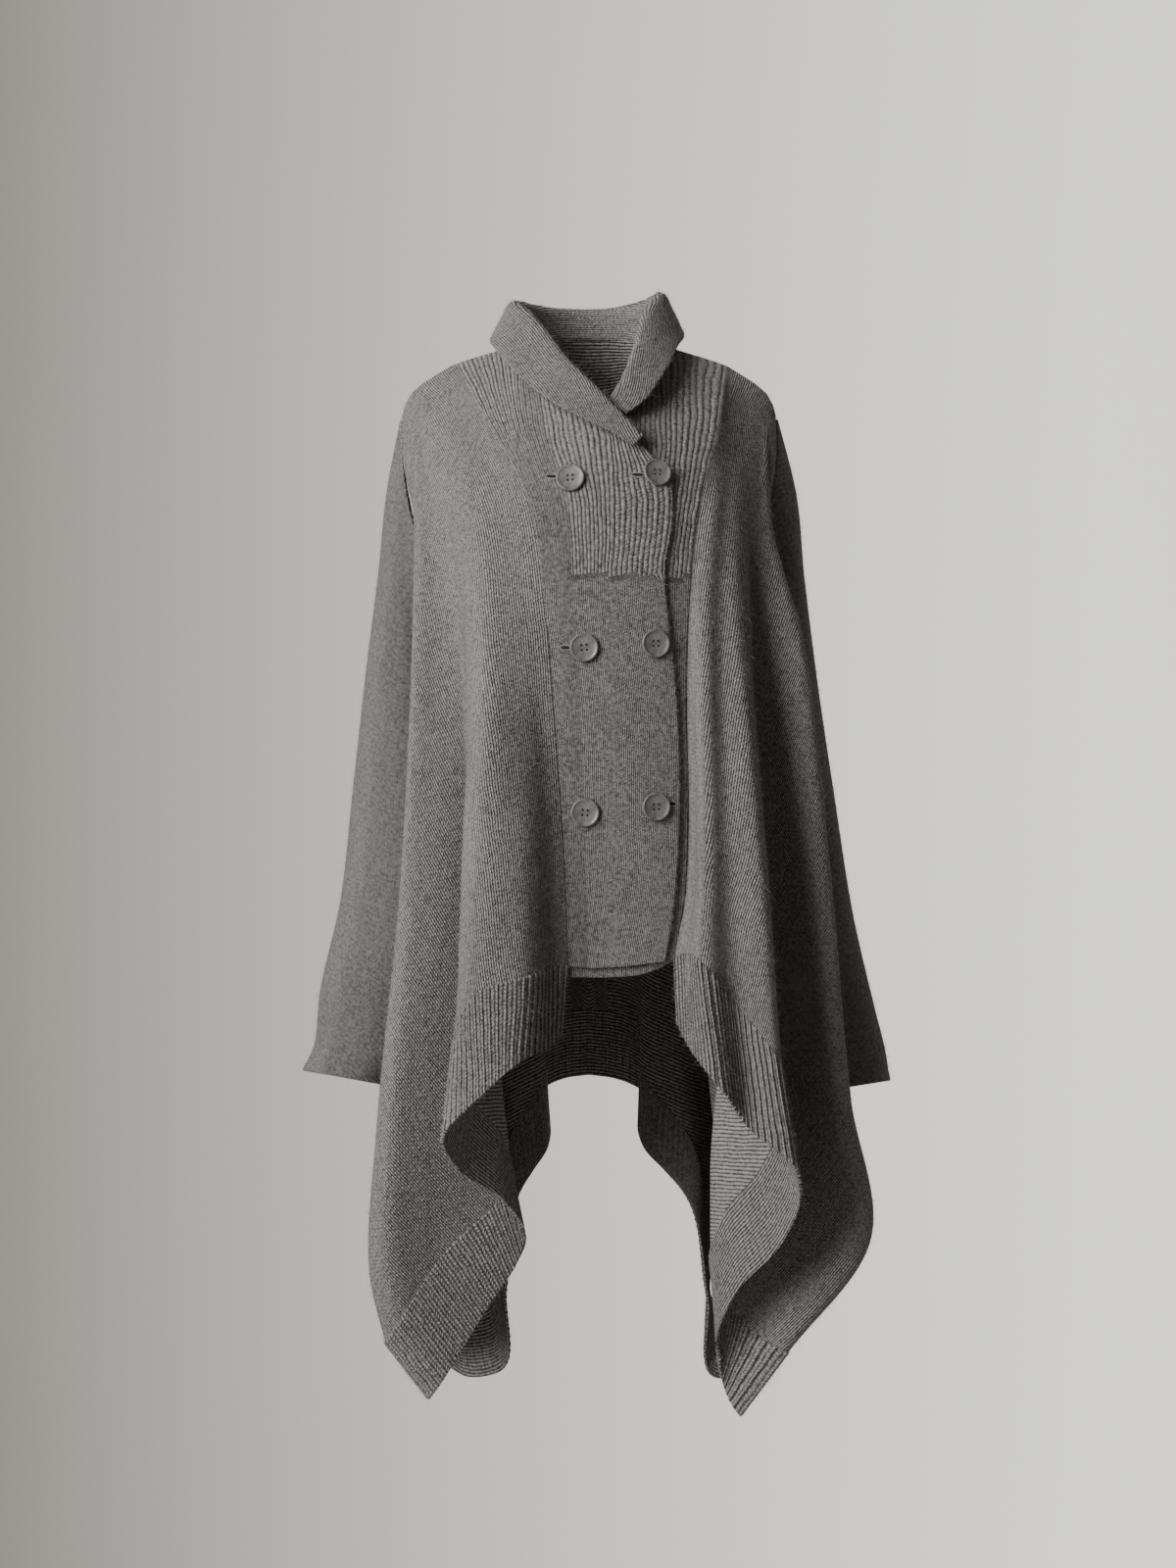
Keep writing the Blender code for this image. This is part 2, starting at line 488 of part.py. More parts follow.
def collar(name, neck_edge, finish_material, collection):
    """A strip that stands on the neck edge, rolls over and falls."""
    rows = placed(COLLAR)
    for row in rows:
        row[0] = neck_edge[np.argmin(np.linalg.norm(neck_edge - row[0], axis=1))]
    grid = np.stack([through(section, np.linspace(0, 2, COLLAR_COLUMNS))
                     for section in through(rows, np.linspace(0, len(rows) - 1, COLLAR_ROWS))])
    normal = facing(grid, 1)
    if normal[COLLAR_ROWS // 2, -1, 1] < 0:
        normal = -normal
    rib = np.broadcast_to(rib_wave(COLLAR_COLUMNS) * COLLAR_RIB_HEIGHT, grid.shape[:2])
    return wall(name, grid, normal, rib, finish_material, collection)


def button(name, across, up, finish_material, collection):
    """Turned disc with a raised rim and four holes."""
    reach = BUTTON_RADIUS / MM
    around = [on_chest((across + a * reach, up + b * reach), 1)
              for a, b in ((0, 0), (1, 0), (-1, 0), (0, 1), (0, -1))]
    out = np.cross(around[1] - around[2], around[3] - around[4])
    out /= np.linalg.norm(out)
    ribbed = YOKE_RIB_HEIGHT * float(np.interp(-up, (124, 312), (1, 0)))
    rim = BUTTON_RADIUS - BUTTON_RIM_WIDTH
    floor = BUTTON_THICKNESS - BUTTON_DISH_DEPTH
    profile = ((0, floor), (rim - 1.0 * MM, floor), (rim, BUTTON_THICKNESS - 0.2 * MM),
               (rim + 0.8 * MM, BUTTON_THICKNESS), (BUTTON_RADIUS - 0.5 * MM, BUTTON_THICKNESS - 0.3 * MM),
               (BUTTON_RADIUS, BUTTON_THICKNESS / 2), (BUTTON_RADIUS - 1.2 * MM, 0), (0, 0))
    sides = BUTTON_SIDES
    verts, faces = [], []
    for i in range(sides):
        angle = 2 * math.pi * i / sides
        for radius, height in profile[1:-1]:
            verts.append((radius * math.cos(angle), radius * math.sin(angle), height))
    rows = len(profile) - 2
    for i in range(sides):
        k = (i + 1) % sides
        for j in range(rows - 1):
            faces.append((i * rows + j, i * rows + j + 1, k * rows + j + 1, k * rows + j))
    faces.append(tuple(i * rows for i in range(sides)))
    faces.append(tuple(i * rows + rows - 1 for i in range(sides))[::-1])
    mesh = bpy.data.meshes.new(name)
    mesh.from_pydata(verts, [], faces)
    piece = finish(name, mesh, finish_material, collection)
    piece.rotation_mode = "QUATERNION"
    piece.rotation_quaternion = Vector(out).to_track_quat("Z", "Y")
    piece.location = around[0] + out * (WALL + ribbed + BUTTON_STAND)
    return piece


def make_coat():
    clear_scene()
    coat = bpy.data.collections.new("knitted_cape_coat")
    bpy.context.scene.collection.children.link(coat)
    knit = material("grey_wool_knit", (0.20, 0.195, 0.18), 0.95)
    horn = material("grey_horn_button", (0.16, 0.155, 0.155), 0.45)

    right, right_normal, right_split = front_grid(
        FRONT_RIGHT, WING_RIGHT, WELT_START_RIGHT, 1, YOKE_COLUMNS_RIGHT, 1)
    left, left_normal, left_split = front_grid(
        FRONT_LEFT, WING_LEFT, WELT_START_LEFT, 0, YOKE_COLUMNS_LEFT, -1)
    edges = [placed(wing["edge"]) for wing in (WING_RIGHT, WING_LEFT)]
    lines = back_lines(*edges)
    back_across = np.linspace(0, len(lines) - 1, 5 * (len(lines) - 1) // 2 + 1)
    back = on_shoulder_line(spread_sheet(lines, back_across, DOWN_PLACES), 1)
    back_normal = facing(back, 1)
    for half_normal, column in ((right_normal, 0), (left_normal, -1)):
        shared = half_normal[UNDERARM_ROW:, -1] + back_normal[UNDERARM_ROW:, column]
        shared /= np.linalg.norm(shared, axis=1, keepdims=True)
        half_normal[UNDERARM_ROW:, -1] = back_normal[UNDERARM_ROW:, column] = shared

    fade = np.interp(DOWN_PLACES[:BAND_ROW + 1], (0, 0.4, 2.2, 3.2), (0.2, 1, 1, 0))[:, None]
    for side, grid, normal, split in (("right", right, right_normal, right_split),
                                      ("left", left, left_normal, left_split)):
        rib = fade * rib_wave(split + 1) * YOKE_RIB_HEIGHT
        panel_normal = normal[:BAND_ROW + 1, :split + 1]
        panel = drawn_in(grid[:BAND_ROW + 1, :split + 1], panel_normal, "last")
        wall("front_" + side, panel, panel_normal, rib, knit, coat)
        wing, wing_normal = grid[:BAND_ROW + 1, split:], normal[:BAND_ROW + 1, split:]
        for edge in ("first", "first", "last", "bottom"):
            wing = drawn_in(wing, wing_normal, edge)
        wall("wing_" + side, wing, wing_normal, 0, knit, coat)
        welt("band_" + side, grid[BAND_ROW:, split:], normal[BAND_ROW:, split:], knit, coat)
    back_panel = back[:BAND_ROW + 1]
    for edge in ("first", "last", "bottom"):
        back_panel = drawn_in(back_panel, back_normal[:BAND_ROW + 1], edge)
    wall("back", back_panel, back_normal[:BAND_ROW + 1], 0, knit, coat)
    welt("band_back", back[BAND_ROW:], back_normal[BAND_ROW:], knit, coat)

    sleeve("sleeve_right", SLEEVE_RIGHT, armhole_loop(right, right_normal, back, back_normal, 0), knit, coat)
    sleeve("sleeve_left", SLEEVE_LEFT, armhole_loop(left, left_normal, back, back_normal, -1), knit, coat)
    neck_reach = -SHOULDER_ACROSS[0] * MM
    neck_edge = neckline(((right, right_normal, neck_reach), (back, back_normal, neck_reach),
                          (left, left_normal, COLLAR_CROSSING)))
    collar("collar", neck_edge, knit, coat)
    for number, (across, up) in enumerate(BUTTONS, 1):
        button(f"button_{number}", across, up, horn, coat)


make_coat()
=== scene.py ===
"""Knitted wool cape coat, buttoned as it is worn: its looks, piece by piece, in metres."""
import math

import bmesh
import bpy
import numpy as np
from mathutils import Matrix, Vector


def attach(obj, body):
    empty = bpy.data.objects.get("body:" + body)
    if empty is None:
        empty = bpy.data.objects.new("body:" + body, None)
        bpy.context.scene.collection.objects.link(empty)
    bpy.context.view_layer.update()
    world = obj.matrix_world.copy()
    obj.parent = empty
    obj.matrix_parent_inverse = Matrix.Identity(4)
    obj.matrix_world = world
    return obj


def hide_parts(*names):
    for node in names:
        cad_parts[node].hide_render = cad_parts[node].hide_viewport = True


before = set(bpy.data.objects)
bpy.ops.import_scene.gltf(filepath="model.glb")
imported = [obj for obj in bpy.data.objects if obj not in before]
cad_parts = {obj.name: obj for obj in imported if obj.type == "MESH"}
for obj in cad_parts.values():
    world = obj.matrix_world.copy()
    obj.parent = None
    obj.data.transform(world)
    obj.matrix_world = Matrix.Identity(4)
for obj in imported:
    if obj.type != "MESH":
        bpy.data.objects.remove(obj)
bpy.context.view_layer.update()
scene = bpy.context.scene

# Camera: at the photo's height and distance, level, looking straight at the front of the coat.
# 1 mm of the coat is one pixel of a picture 1600 pixels high.
CAMERA_AT = (-0.001, -2.6, -0.425)
CAMERA_LENS = 58.5         # mm
CAMERA_SENSOR = 36         # mm, along the picture's height
camera_data = bpy.data.cameras.new("camera")
camera_data.lens = CAMERA_LENS
camera_data.sensor_width = CAMERA_SENSOR
camera = bpy.data.objects.new("camera", camera_data)
camera.location = CAMERA_AT
camera.rotation_euler = (math.radians(90), 0, 0)
scene.collection.objects.link(camera)
scene.camera = camera

# Studio: a pale floor well under the hem and a pale wall far behind with painted shade on its left.
# A big soft window on the left is the main light, and the room gives a little back.
WALL_BEHIND = 3.4          # from the neck to the wall
FLOOR_UNDER = -2.42
ROOM_WIDTH = 14.0
WALL_SHADE = (0.13, 0.121, 0.10)      # painted shade, of the wall far on the left
WALL_COLOUR = (0.80, 0.79, 0.76)      # and on the right, where painted daylight falls
SHADE_FROM, SHADE_TO = -1.7, 1.2      # across the wall, from full painted shade to full painted daylight
WALL_GLOW = 1.25           # painted daylight: the far wall glows with its own colour
FLOOR_COLOUR = (0.62, 0.61, 0.59)
WINDOW_AT = (-2.0, -1.95, 0.7)
WINDOW_SIZE = (1.5, 2.2)
WINDOW_TOWARDS = (0, 0, -0.4)         # the window faces the middle of the coat
WINDOW_POWER = 140         # watts
ROOM_COLOUR = (1, 0.99, 0.97)
ROOM_LIGHT = 0.075


def plain_material(name, colour, roughness):
    made = bpy.data.materials.new(name)
    made.use_nodes = True
    shader = made.node_tree.nodes["Principled BSDF"]
    shader.inputs["Base Color"].default_value = (*colour, 1)
    shader.inputs["Roughness"].default_value = roughness
    return made


def room_plane(name, corners, material):
    mesh = bpy.data.meshes.new(name)
    mesh.from_pydata(corners, [], [(0, 1, 2, 3)])
    mesh.materials.append(material)
    plane = bpy.data.objects.new(name, mesh)
    scene.collection.objects.link(plane)
    return plane


# Painted shade and light: the wall's colour goes from WALL_SHADE to WALL_COLOUR across it, and it glows.
wall_material = plain_material("studio_wall", WALL_COLOUR, 0.9)
wall_nodes, wall_links = wall_material.node_tree.nodes, wall_material.node_tree.links
wall_where = wall_nodes.new("ShaderNodeTexCoord")
wall_split = wall_nodes.new("ShaderNodeSeparateXYZ")
wall_ramp = wall_nodes.new("ShaderNodeMapRange")
wall_ramp.inputs["From Min"].default_value = SHADE_FROM
wall_ramp.inputs["From Max"].default_value = SHADE_TO
wall_mix = wall_nodes.new("ShaderNodeMix")
wall_mix.data_type = "RGBA"
wall_mix.inputs["A"].default_value = (*WALL_SHADE, 1)
wall_mix.inputs["B"].default_value = (*WALL_COLOUR, 1)
wall_links.new(wall_where.outputs["Object"], wall_split.inputs[0])
wall_links.new(wall_split.outputs["X"], wall_ramp.inputs["Value"])
wall_links.new(wall_ramp.outputs["Result"], wall_mix.inputs["Factor"])
wall_shader = wall_nodes["Principled BSDF"]
wall_shader.inputs["Emission Strength"].default_value = WALL_GLOW
for socket in ("Base Color", "Emission Color"):
    wall_links.new(wall_mix.outputs["Result"], wall_shader.inputs[socket])
half_room = ROOM_WIDTH / 2
room_plane("floor", [(-half_room, -half_room, FLOOR_UNDER), (half_room, -half_room, FLOOR_UNDER),
                     (half_room, WALL_BEHIND, FLOOR_UNDER), (-half_room, WALL_BEHIND, FLOOR_UNDER)],
           plain_material("studio_floor", FLOOR_COLOUR, 0.8))
room_plane("wall_behind", [(-half_room, WALL_BEHIND, FLOOR_UNDER), (half_room, WALL_BEHIND, FLOOR_UNDER),
                           (half_room, WALL_BEHIND, half_room), (-half_room, WALL_BEHIND, half_room)],
           wall_material)

window_light = bpy.data.lights.new("window", "AREA")
window_light.shape = "RECTANGLE"
window_light.size, window_light.size_y = WINDOW_SIZE
window_light.energy = WINDOW_POWER
window = bpy.data.objects.new("window", window_light)
window.location = WINDOW_AT
window.rotation_euler = (Vector(WINDOW_TOWARDS) - Vector(WINDOW_AT)).to_track_quat("-Z", "Y").to_euler()
scene.collection.objects.link(window)
world = bpy.data.worlds.new("room")
world.use_nodes = True
world.node_tree.nodes["Background"].inputs["Color"].default_value = (*ROOM_COLOUR, 1)
world.node_tree.nodes["Background"].inputs["Strength"].default_value = ROOM_LIGHT
scene.world = world


# Front panels: the yoke and the double-breasted button panel, knitted in one from wool and mohair,
# ribbed above and plain below. The right one laps over the left and is held by the buttons.
MM = 0.001
WALL = 2.6 * MM            # thickness of the knit
SEAM_GAP = 0.7 * MM        # from the shoulder seam's line to each piece, and from an armhole to its sleeve
LAYER_STEP = 4.6 * MM      # from the underlap to the overlap of the fronts
READ_DISTANCE = 2600 * MM  # the tables below give widths and heights as read from this far in front
READ_HEIGHT = -425 * MM    # and from this height
YOKE_COLUMNS_RIGHT = 44    # grid columns of the ribbed yokes, right and left front
YOKE_COLUMNS_LEFT = 28
YOKE_RIB_HEIGHT = 1.0 * MM
STATIONS = ("shoulder", "yoke", "chest", "bust", "waist", "hip", "low", "tail", "band", "hem")
WAIST = STATIONS.index("waist")     # the underarm is at this station
BAND = STATIONS.index("band")       # the welt starts here
HEM = STATIONS.index("hem")
WING_RIGHT = {
    "crown": ((-146, -4, -2), (-122, -62, -66), (-92, -140, -110), (-81, -240, -134), (-74, -345, -148),
              (-69, -470, -160), (-69, -545, -166), (-69, -585, -170), (-69, -624, -174), (-74, -711, -184)),
    "ridge": ((-154, -11, 0), (-140, -66, -56), (-116, -150, -104), (-106, -250, -134), (-104, -355, -158),
              (-107, -480, -168), (-111, -560, -174), (-113, -600, -177), (-115, -640, -180),
              (-110, -744, -186)),
    "fold_a": ((-161, -15, 1), (-151, -71, -50), (-132, -156, -92), (-122, -256, -116), (-120, -364, -136),
               (-126, -495, -152), (-130, -590, -160), (-132, -640, -163), (-136, -690, -166),
               (-146, -783, -170)),
    "fold_b": ((-168, -18, 2), (-160, -76, -44), (-143, -162, -78), (-132, -262, -90), (-122, -372, -90),
               (-108, -515, -80), (-96, -660, -72), (-88, -760, -68), (-80, -834, -64), (-64, -893, -60)),
    "strip": ((-175, -22, 3), (-168, -82, -38), (-156, -170, -66), (-150, -270, -80), (-150, -385, -90),
              (-152, -540, -94), (-154, -710, -90), (-154, -830, -84), (-150, -906, -78), (-108, -966, -68)),
    "side": ((-182, -30, 5), (-178, -88, -30), (-176, -172, -48), (-177, -270, -66), (-181, -385, -78),
             (-192, -560, -80), (-214, -780, -78), (-221, -920, -72), (-205, -992, -66), (-161, -1049, -60)),
    "pass": ((-185, -41, 6), (-184, -96, -18), (-172, -175, -32), (-162, -275, -40), (-148, -368, -40),
             (-130, -540, -42), (-134, -720, -40), (-148, -850, -36), (-164, -936, -30), (-168, -1004, -24)),
    "edge": ((-189, -50, 8), (-187, -100, -12), (-168, -177, -22), (-154, -272, -22), (-142, -330, 6),
             (-116, -500, 12), (-116, -680, 12), (-124, -810, 10), (-132, -890, 8), (-140, -958, 6)),
}
WING_LEFT = {
    "crown": ((150, -4, -2), (139, -70, -54), (126, -146, -97), (119, -238, -124), (118, -332, -142),
              (120, -460, -158), (119, -530, -166), (117, -570, -170), (115, -607, -174), (130, -730, -184)),
    "valley": ((156, -8, 0), (147, -75, -48), (137, -152, -88), (132, -246, -116), (134, -345, -132),
               (140, -475, -148), (142, -560, -153), (143, -605, -155), (146, -646, -157), (162, -776, -162)),
    "ridge": ((162, -12, 1), (154, -79, -43), (148, -157, -82), (150, -252, -112), (158, -350, -132),
              (170, -480, -152), (178, -580, -160), (183, -640, -164), (188, -700, -168), (206, -812, -174)),
    "fold_a": ((168, -16, 2), (161, -82, -38), (157, -162, -72), (162, -259, -94), (168, -360, -112),
               (179, -500, -128), (187, -620, -138), (191, -690, -144), (198, -758, -150), (215, -844, -156)),
    "fold_b": ((173, -20, 3), (167, -86, -34), (164, -167, -62), (162, -267, -76), (156, -370, -80),
               (148, -530, -76), (134, -720, -66), (126, -830, -60), (124, -922, -56), (129, -995, -52)),
    "strip": ((178, -25, 4), (174, -90, -29), (174, -172, -54), (184, -271, -70), (190, -380, -74),
              (198, -540, -70), (206, -730, -60), (208, -860, -50), (170, -986, -36), (140, -1046, -30)),
    "side": ((183, -32, 5), (180, -93, -25), (186, -172, -42), (214, -272, -60), (228, -370, -70),
             (245, -540, -74), (264, -748, -70), (283, -892, -62), (200, -1002, -40), (152, -1066, -30)),
    "pass": ((187, -41, 6), (186, -97, -18), (178, -176, -32), (167, -275, -40), (150, -365, -38),
             (132, -530, -40), (144, -720, -34), (172, -850, -20), (184, -950, -4), (172, -1022, -2)),
    "edge": ((189, -50, 8), (188, -100, -12), (170, -177, -22), (156, -275, -22), (143, -330, 6),
             (118, -500, 14), (118, -680, 14), (132, -810, 14), (146, -890, 12), (156, -958, 10)),
}
FRONT_RIGHT = {
    "free_edge": ((56, -82), (72, -100), (84, -124), (77, -205), (87, -312), (92, -450), (87, -545),
                  (82, -580), (77, -606)),
    "front": ((18, -62), (22, -95), (24, -135), (22, -215), (24, -320), (26, -455), (26, -545), (26, -580),
              (26, -612)),
    "neck": ((-48, -22), (-42, -70), (-24, -132), (-16, -220), (-10, -325), (-4, -458), (-2, -545),
             (-2, -580), (-2, -613)),
    "neck_side": ((-84, 18), (-72, -58), (-46, -130), (-33, -224), (-25, -330), (-17, -462), (-14, -545),
                  (-13, -580), (-13, -612)),
    "seam": ((-135, 3), (-102, -58), (-63, -130), (-46, -228), (-37, -335), (-28, -465), (-24, -545),
             (-23, -580), (-22, -610)),
}
FRONT_LEFT = {
    "free_edge": ((-26, -48), (-28, -80), (-28, -130), (-28, -225), (-26, -325), (-24, -460), (-22, -545),
                  (-21, -586), (-20, -622)),
    "front": ((18, -56), (22, -90), (24, -135), (22, -220), (24, -322), (26, -457), (26, -545), (26, -586),
              (26, -622)),
    "neck": ((50, -22), (50, -68), (50, -130), (48, -220), (50, -322), (54, -456), (54, -545), (54, -584),
             (54, -619)),
    "neck_side": ((84, 18), (86, -60), (82, -134), (73, -222), (72, -322), (73, -456), (73, -545), (73, -578),
                  (73, -612)),
    "seam": ((140, 0), (130, -66), (113, -140), (104, -225), (101, -325), (103, -458), (99, -545),
             (93, -575), (88, -603)),
}
WELT_START_RIGHT = (-30, -682)      # lower corner of the right welt at the centre front
WELT_START_LEFT = (92, -668)
CHEST_TOP_ACROSS = (0, 84, 96, 135, 187)     # mm, where the chest's drop is counted from
CHEST_TOP_UP = (46, 18, 14, 4, -50)
CHEST_HALF_WIDTH = 230
CHEST_SQUARENESS = 2.5     # a power: 2 would be a plain curve from the middle to the sides
CHEST_DROP = (-10, 0, 20, 60, 100, 140, 220, 320, 420, 640, 800)
CHEST_DEPTH = (0, 0, -34, -78, -102, -116, -132, -132, -127, -120, -118)
SHOULDER_ACROSS = (84, 96, 120, 140, 155, 168, 180, 186, 189)
SHOULDER_UP = (18, 14, 7, 0, -9, -17, -27, -38, -50)
SHOULDER_DEPTH = (0, 0, 1, 2, 3, 4, 6, 7, 8)


def placed(points):
    """Carry table points (across, up, depth in mm) to their places, in metres."""
    points = np.asarray(points, float) * MM
    spread = 1 + points[..., 2] / READ_DISTANCE
    x = points[..., 0] * spread
    z = READ_HEIGHT + (points[..., 1] - READ_HEIGHT) * spread
    return np.stack([x, points[..., 2], z], axis=-1)


def through(points, places):
    """A smooth curve through the points, read at places counted in points from 0."""
    points = np.asarray(points, float)
    chord = np.linalg.norm(np.diff(points, axis=0), axis=-1)
    while chord.ndim > 1:
        chord = chord.mean(axis=-1)
    chord = np.maximum(chord, 1e-6)
    shape = (-1,) + (1,) * (points.ndim - 1)
    slope = np.diff(points, axis=0) / chord.reshape(shape)
    tangent = np.empty_like(points)
    tangent[0], tangent[-1] = slope[0], slope[-1]
    before, after = chord[:-1].reshape(shape), chord[1:].reshape(shape)
    tangent[1:-1] = (slope[:-1] * after + slope[1:] * before) / (before + after)
    places = np.clip(np.asarray(places, float), 0, len(points) - 1)
    start = np.minimum(places.astype(int), len(points) - 2)
    t = (places - start).reshape(shape)
    length = chord[start].reshape(shape)
    return ((2 * t**3 - 3 * t**2 + 1) * points[start] + (t**3 - 2 * t**2 + t) * length * tangent[start]
            + (3 * t**2 - 2 * t**3) * points[start + 1] + (t**3 - t**2) * length * tangent[start + 1])


def spread_sheet(lines, across_places, down_places):
    """Grid [down, across] through the lines, each a curve from the shoulder to the hem."""
    down = np.stack([through(line, down_places) for line in lines], axis=1)
    return np.stack([through(row, across_places) for row in down], axis=0)


def facing(grid, outward):
    """Unit normals of a grid, turned to the side that the sign outward asks for."""
    down = np.gradient(grid, axis=0)
    across = np.gradient(grid, axis=1)
    normal = np.cross(across, down)
    normal /= np.maximum(np.linalg.norm(normal, axis=-1, keepdims=True), 1e-12)
    return normal * outward


def chest_depth(across, up):
    """Depth of the chest surface of a general figure, in mm, for points read from in front."""
    shoulder_up = np.interp(np.abs(across), CHEST_TOP_ACROSS, CHEST_TOP_UP)
    places = np.linspace(0, len(CHEST_DROP) - 1, 121)
    profile = through(np.column_stack([CHEST_DROP, CHEST_DEPTH]), places)
    depth = np.interp(shoulder_up - up, profile[:, 0], profile[:, 1])
    return depth * (1 - (np.abs(across) / CHEST_HALF_WIDTH) ** CHEST_SQUARENESS)


def on_chest(pairs, layer):
    """Points of a centre front on the chest; layer 0 is the underlap and 1 the overlap."""
    pairs = np.asarray(pairs, float)
    depth = chest_depth(pairs[..., 0], pairs[..., 1]) - layer * LAYER_STEP / MM
    return placed(np.concatenate([pairs, depth[..., None]], axis=-1))


def on_shoulder_line(grid, sign):
    """Seat the first row of a grid on the shoulder seam, outside the neck."""
    row = grid[0]
    depth = np.abs(np.interp(np.abs(row[:, 0]) / MM, SHOULDER_ACROSS, SHOULDER_DEPTH))
    up = np.interp(np.abs(row[:, 0]) / MM, SHOULDER_ACROSS, SHOULDER_UP)
    seat = placed(np.column_stack([row[:, 0] / MM, up, depth]))
    seat[:, 0] = row[:, 0]
    seat[:, 1] += sign * SEAM_GAP
    beyond = np.abs(row[:, 0]) >= SHOULDER_ACROSS[0] * MM - 1e-4
    row[beyond] = seat[beyond]
    return grid


# Half depth of the rolled side fold at each station.
FOLD_ROLL = np.outer(np.interp(range(len(STATIONS)), (0, 1, 2, 4), (0, 0.8, 3, 9)), (0, MM, 0))
# The fold's two lines start side by side on the shoulder seam.
FOLD_SPREAD = np.outer(np.arange(len(STATIONS)) == 0, (0.004, 0, 0))
DOWN_PLACES = np.array([0, .5, 1, 1.5, 2, 2.5, 3, 3.5, 4, 5, 6, 7, 8, 9])
UNDERARM_ROW = int(np.flatnonzero(DOWN_PLACES == WAIST)[0])
BAND_ROW = int(np.flatnonzero(DOWN_PLACES == BAND)[0])
COLUMNS_PER_LINE = 3


def front_lines(front, wing, welt_start, layer):
    """All lines of one half of the front, from its free edge round to the side seam.

    The button panel's lines end at the welt's top, so each gets one more point, 1 mm lower, and the seam's
    line gets the welt's corner.
    """
    lines = []
    for name, pairs in front.items():
        last = welt_start if name == "seam" else (pairs[-1][0], pairs[-1][1] - 1)
        lines.append(on_chest(pairs + (last,), layer))
    for name, line in wing.items():
        if name == "side":
            middle = placed(line)
            lines += [middle * (1 - FOLD_SPREAD) - FOLD_ROLL, middle * (1 + FOLD_SPREAD) + FOLD_ROLL]
        else:
            lines.append(placed(line))
    return lines


def front_grid(front, wing, welt_start, layer, rib_columns, outward):
    """Grid of one half of the front, its normals, and the column of the seam between its two pieces."""
    lines = front_lines(front, wing, welt_start, layer)
    seam, last = list(front).index("seam"), len(lines) - 1
    wing_places = np.linspace(seam, last, COLUMNS_PER_LINE * (last - seam) + 1)
    across = np.concatenate([np.linspace(0, seam, rib_columns + 1), wing_places[1:]])
    grid = on_shoulder_line(spread_sheet(lines, across, DOWN_PLACES), -1)
    flat_lines = [through(pairs + (pairs[-1],), DOWN_PLACES) for pairs in front.values()]
    flat = np.stack([through(row, across[:rib_columns + 1]) for row in np.stack(flat_lines, axis=1)])
    grid[1:BAND_ROW + 1, :rib_columns + 1] = on_chest(flat, layer)[1:BAND_ROW + 1]
    return grid, facing(grid, outward), rib_columns


CLOTH_STEP = 5.5 * MM      # between the points of the fine meshes
EDGE_ROUND = 1.1 * MM      # the knit's free edges are rounded off this far in
EDGE_LEAST = 0.4           # of the wall's thickness is left at the very edge
EDGE_STEPS = (0.3 * MM, 0.9 * MM, 1.8 * MM)   # from an edge to the extra rows of points beside it
RIB_POINTS = 6             # fine columns to a rib
STRAY_SCALE, STRAY = 38.0, 0.45             # the noise that the columns stray by, and how far, in columns
FLUFF_SCALE, FLUFF_RELIEF = 520.0, 0.9      # loose fibres on the face
SOFT_SCALE, SOFT_RELIEF = 95.0, 0.7         # the uneven face of brushed cloth
MARL_SCALE, MARL_CONTRAST = 310.0, 1.8      # dark and light fibres spun together
PATCH_SCALE, PATCH_CONTRAST = 14.0, 0.22    # broad patches
TONE_START = -0.46
TONE_DARK, TONE_LIGHT = 0.12, 0.92          # darkest and lightest tones, of marl and painted shade
DARK_SHARE, LIGHT_SHARE = 0.30, 1.95        # of the wool's colour, at those tones
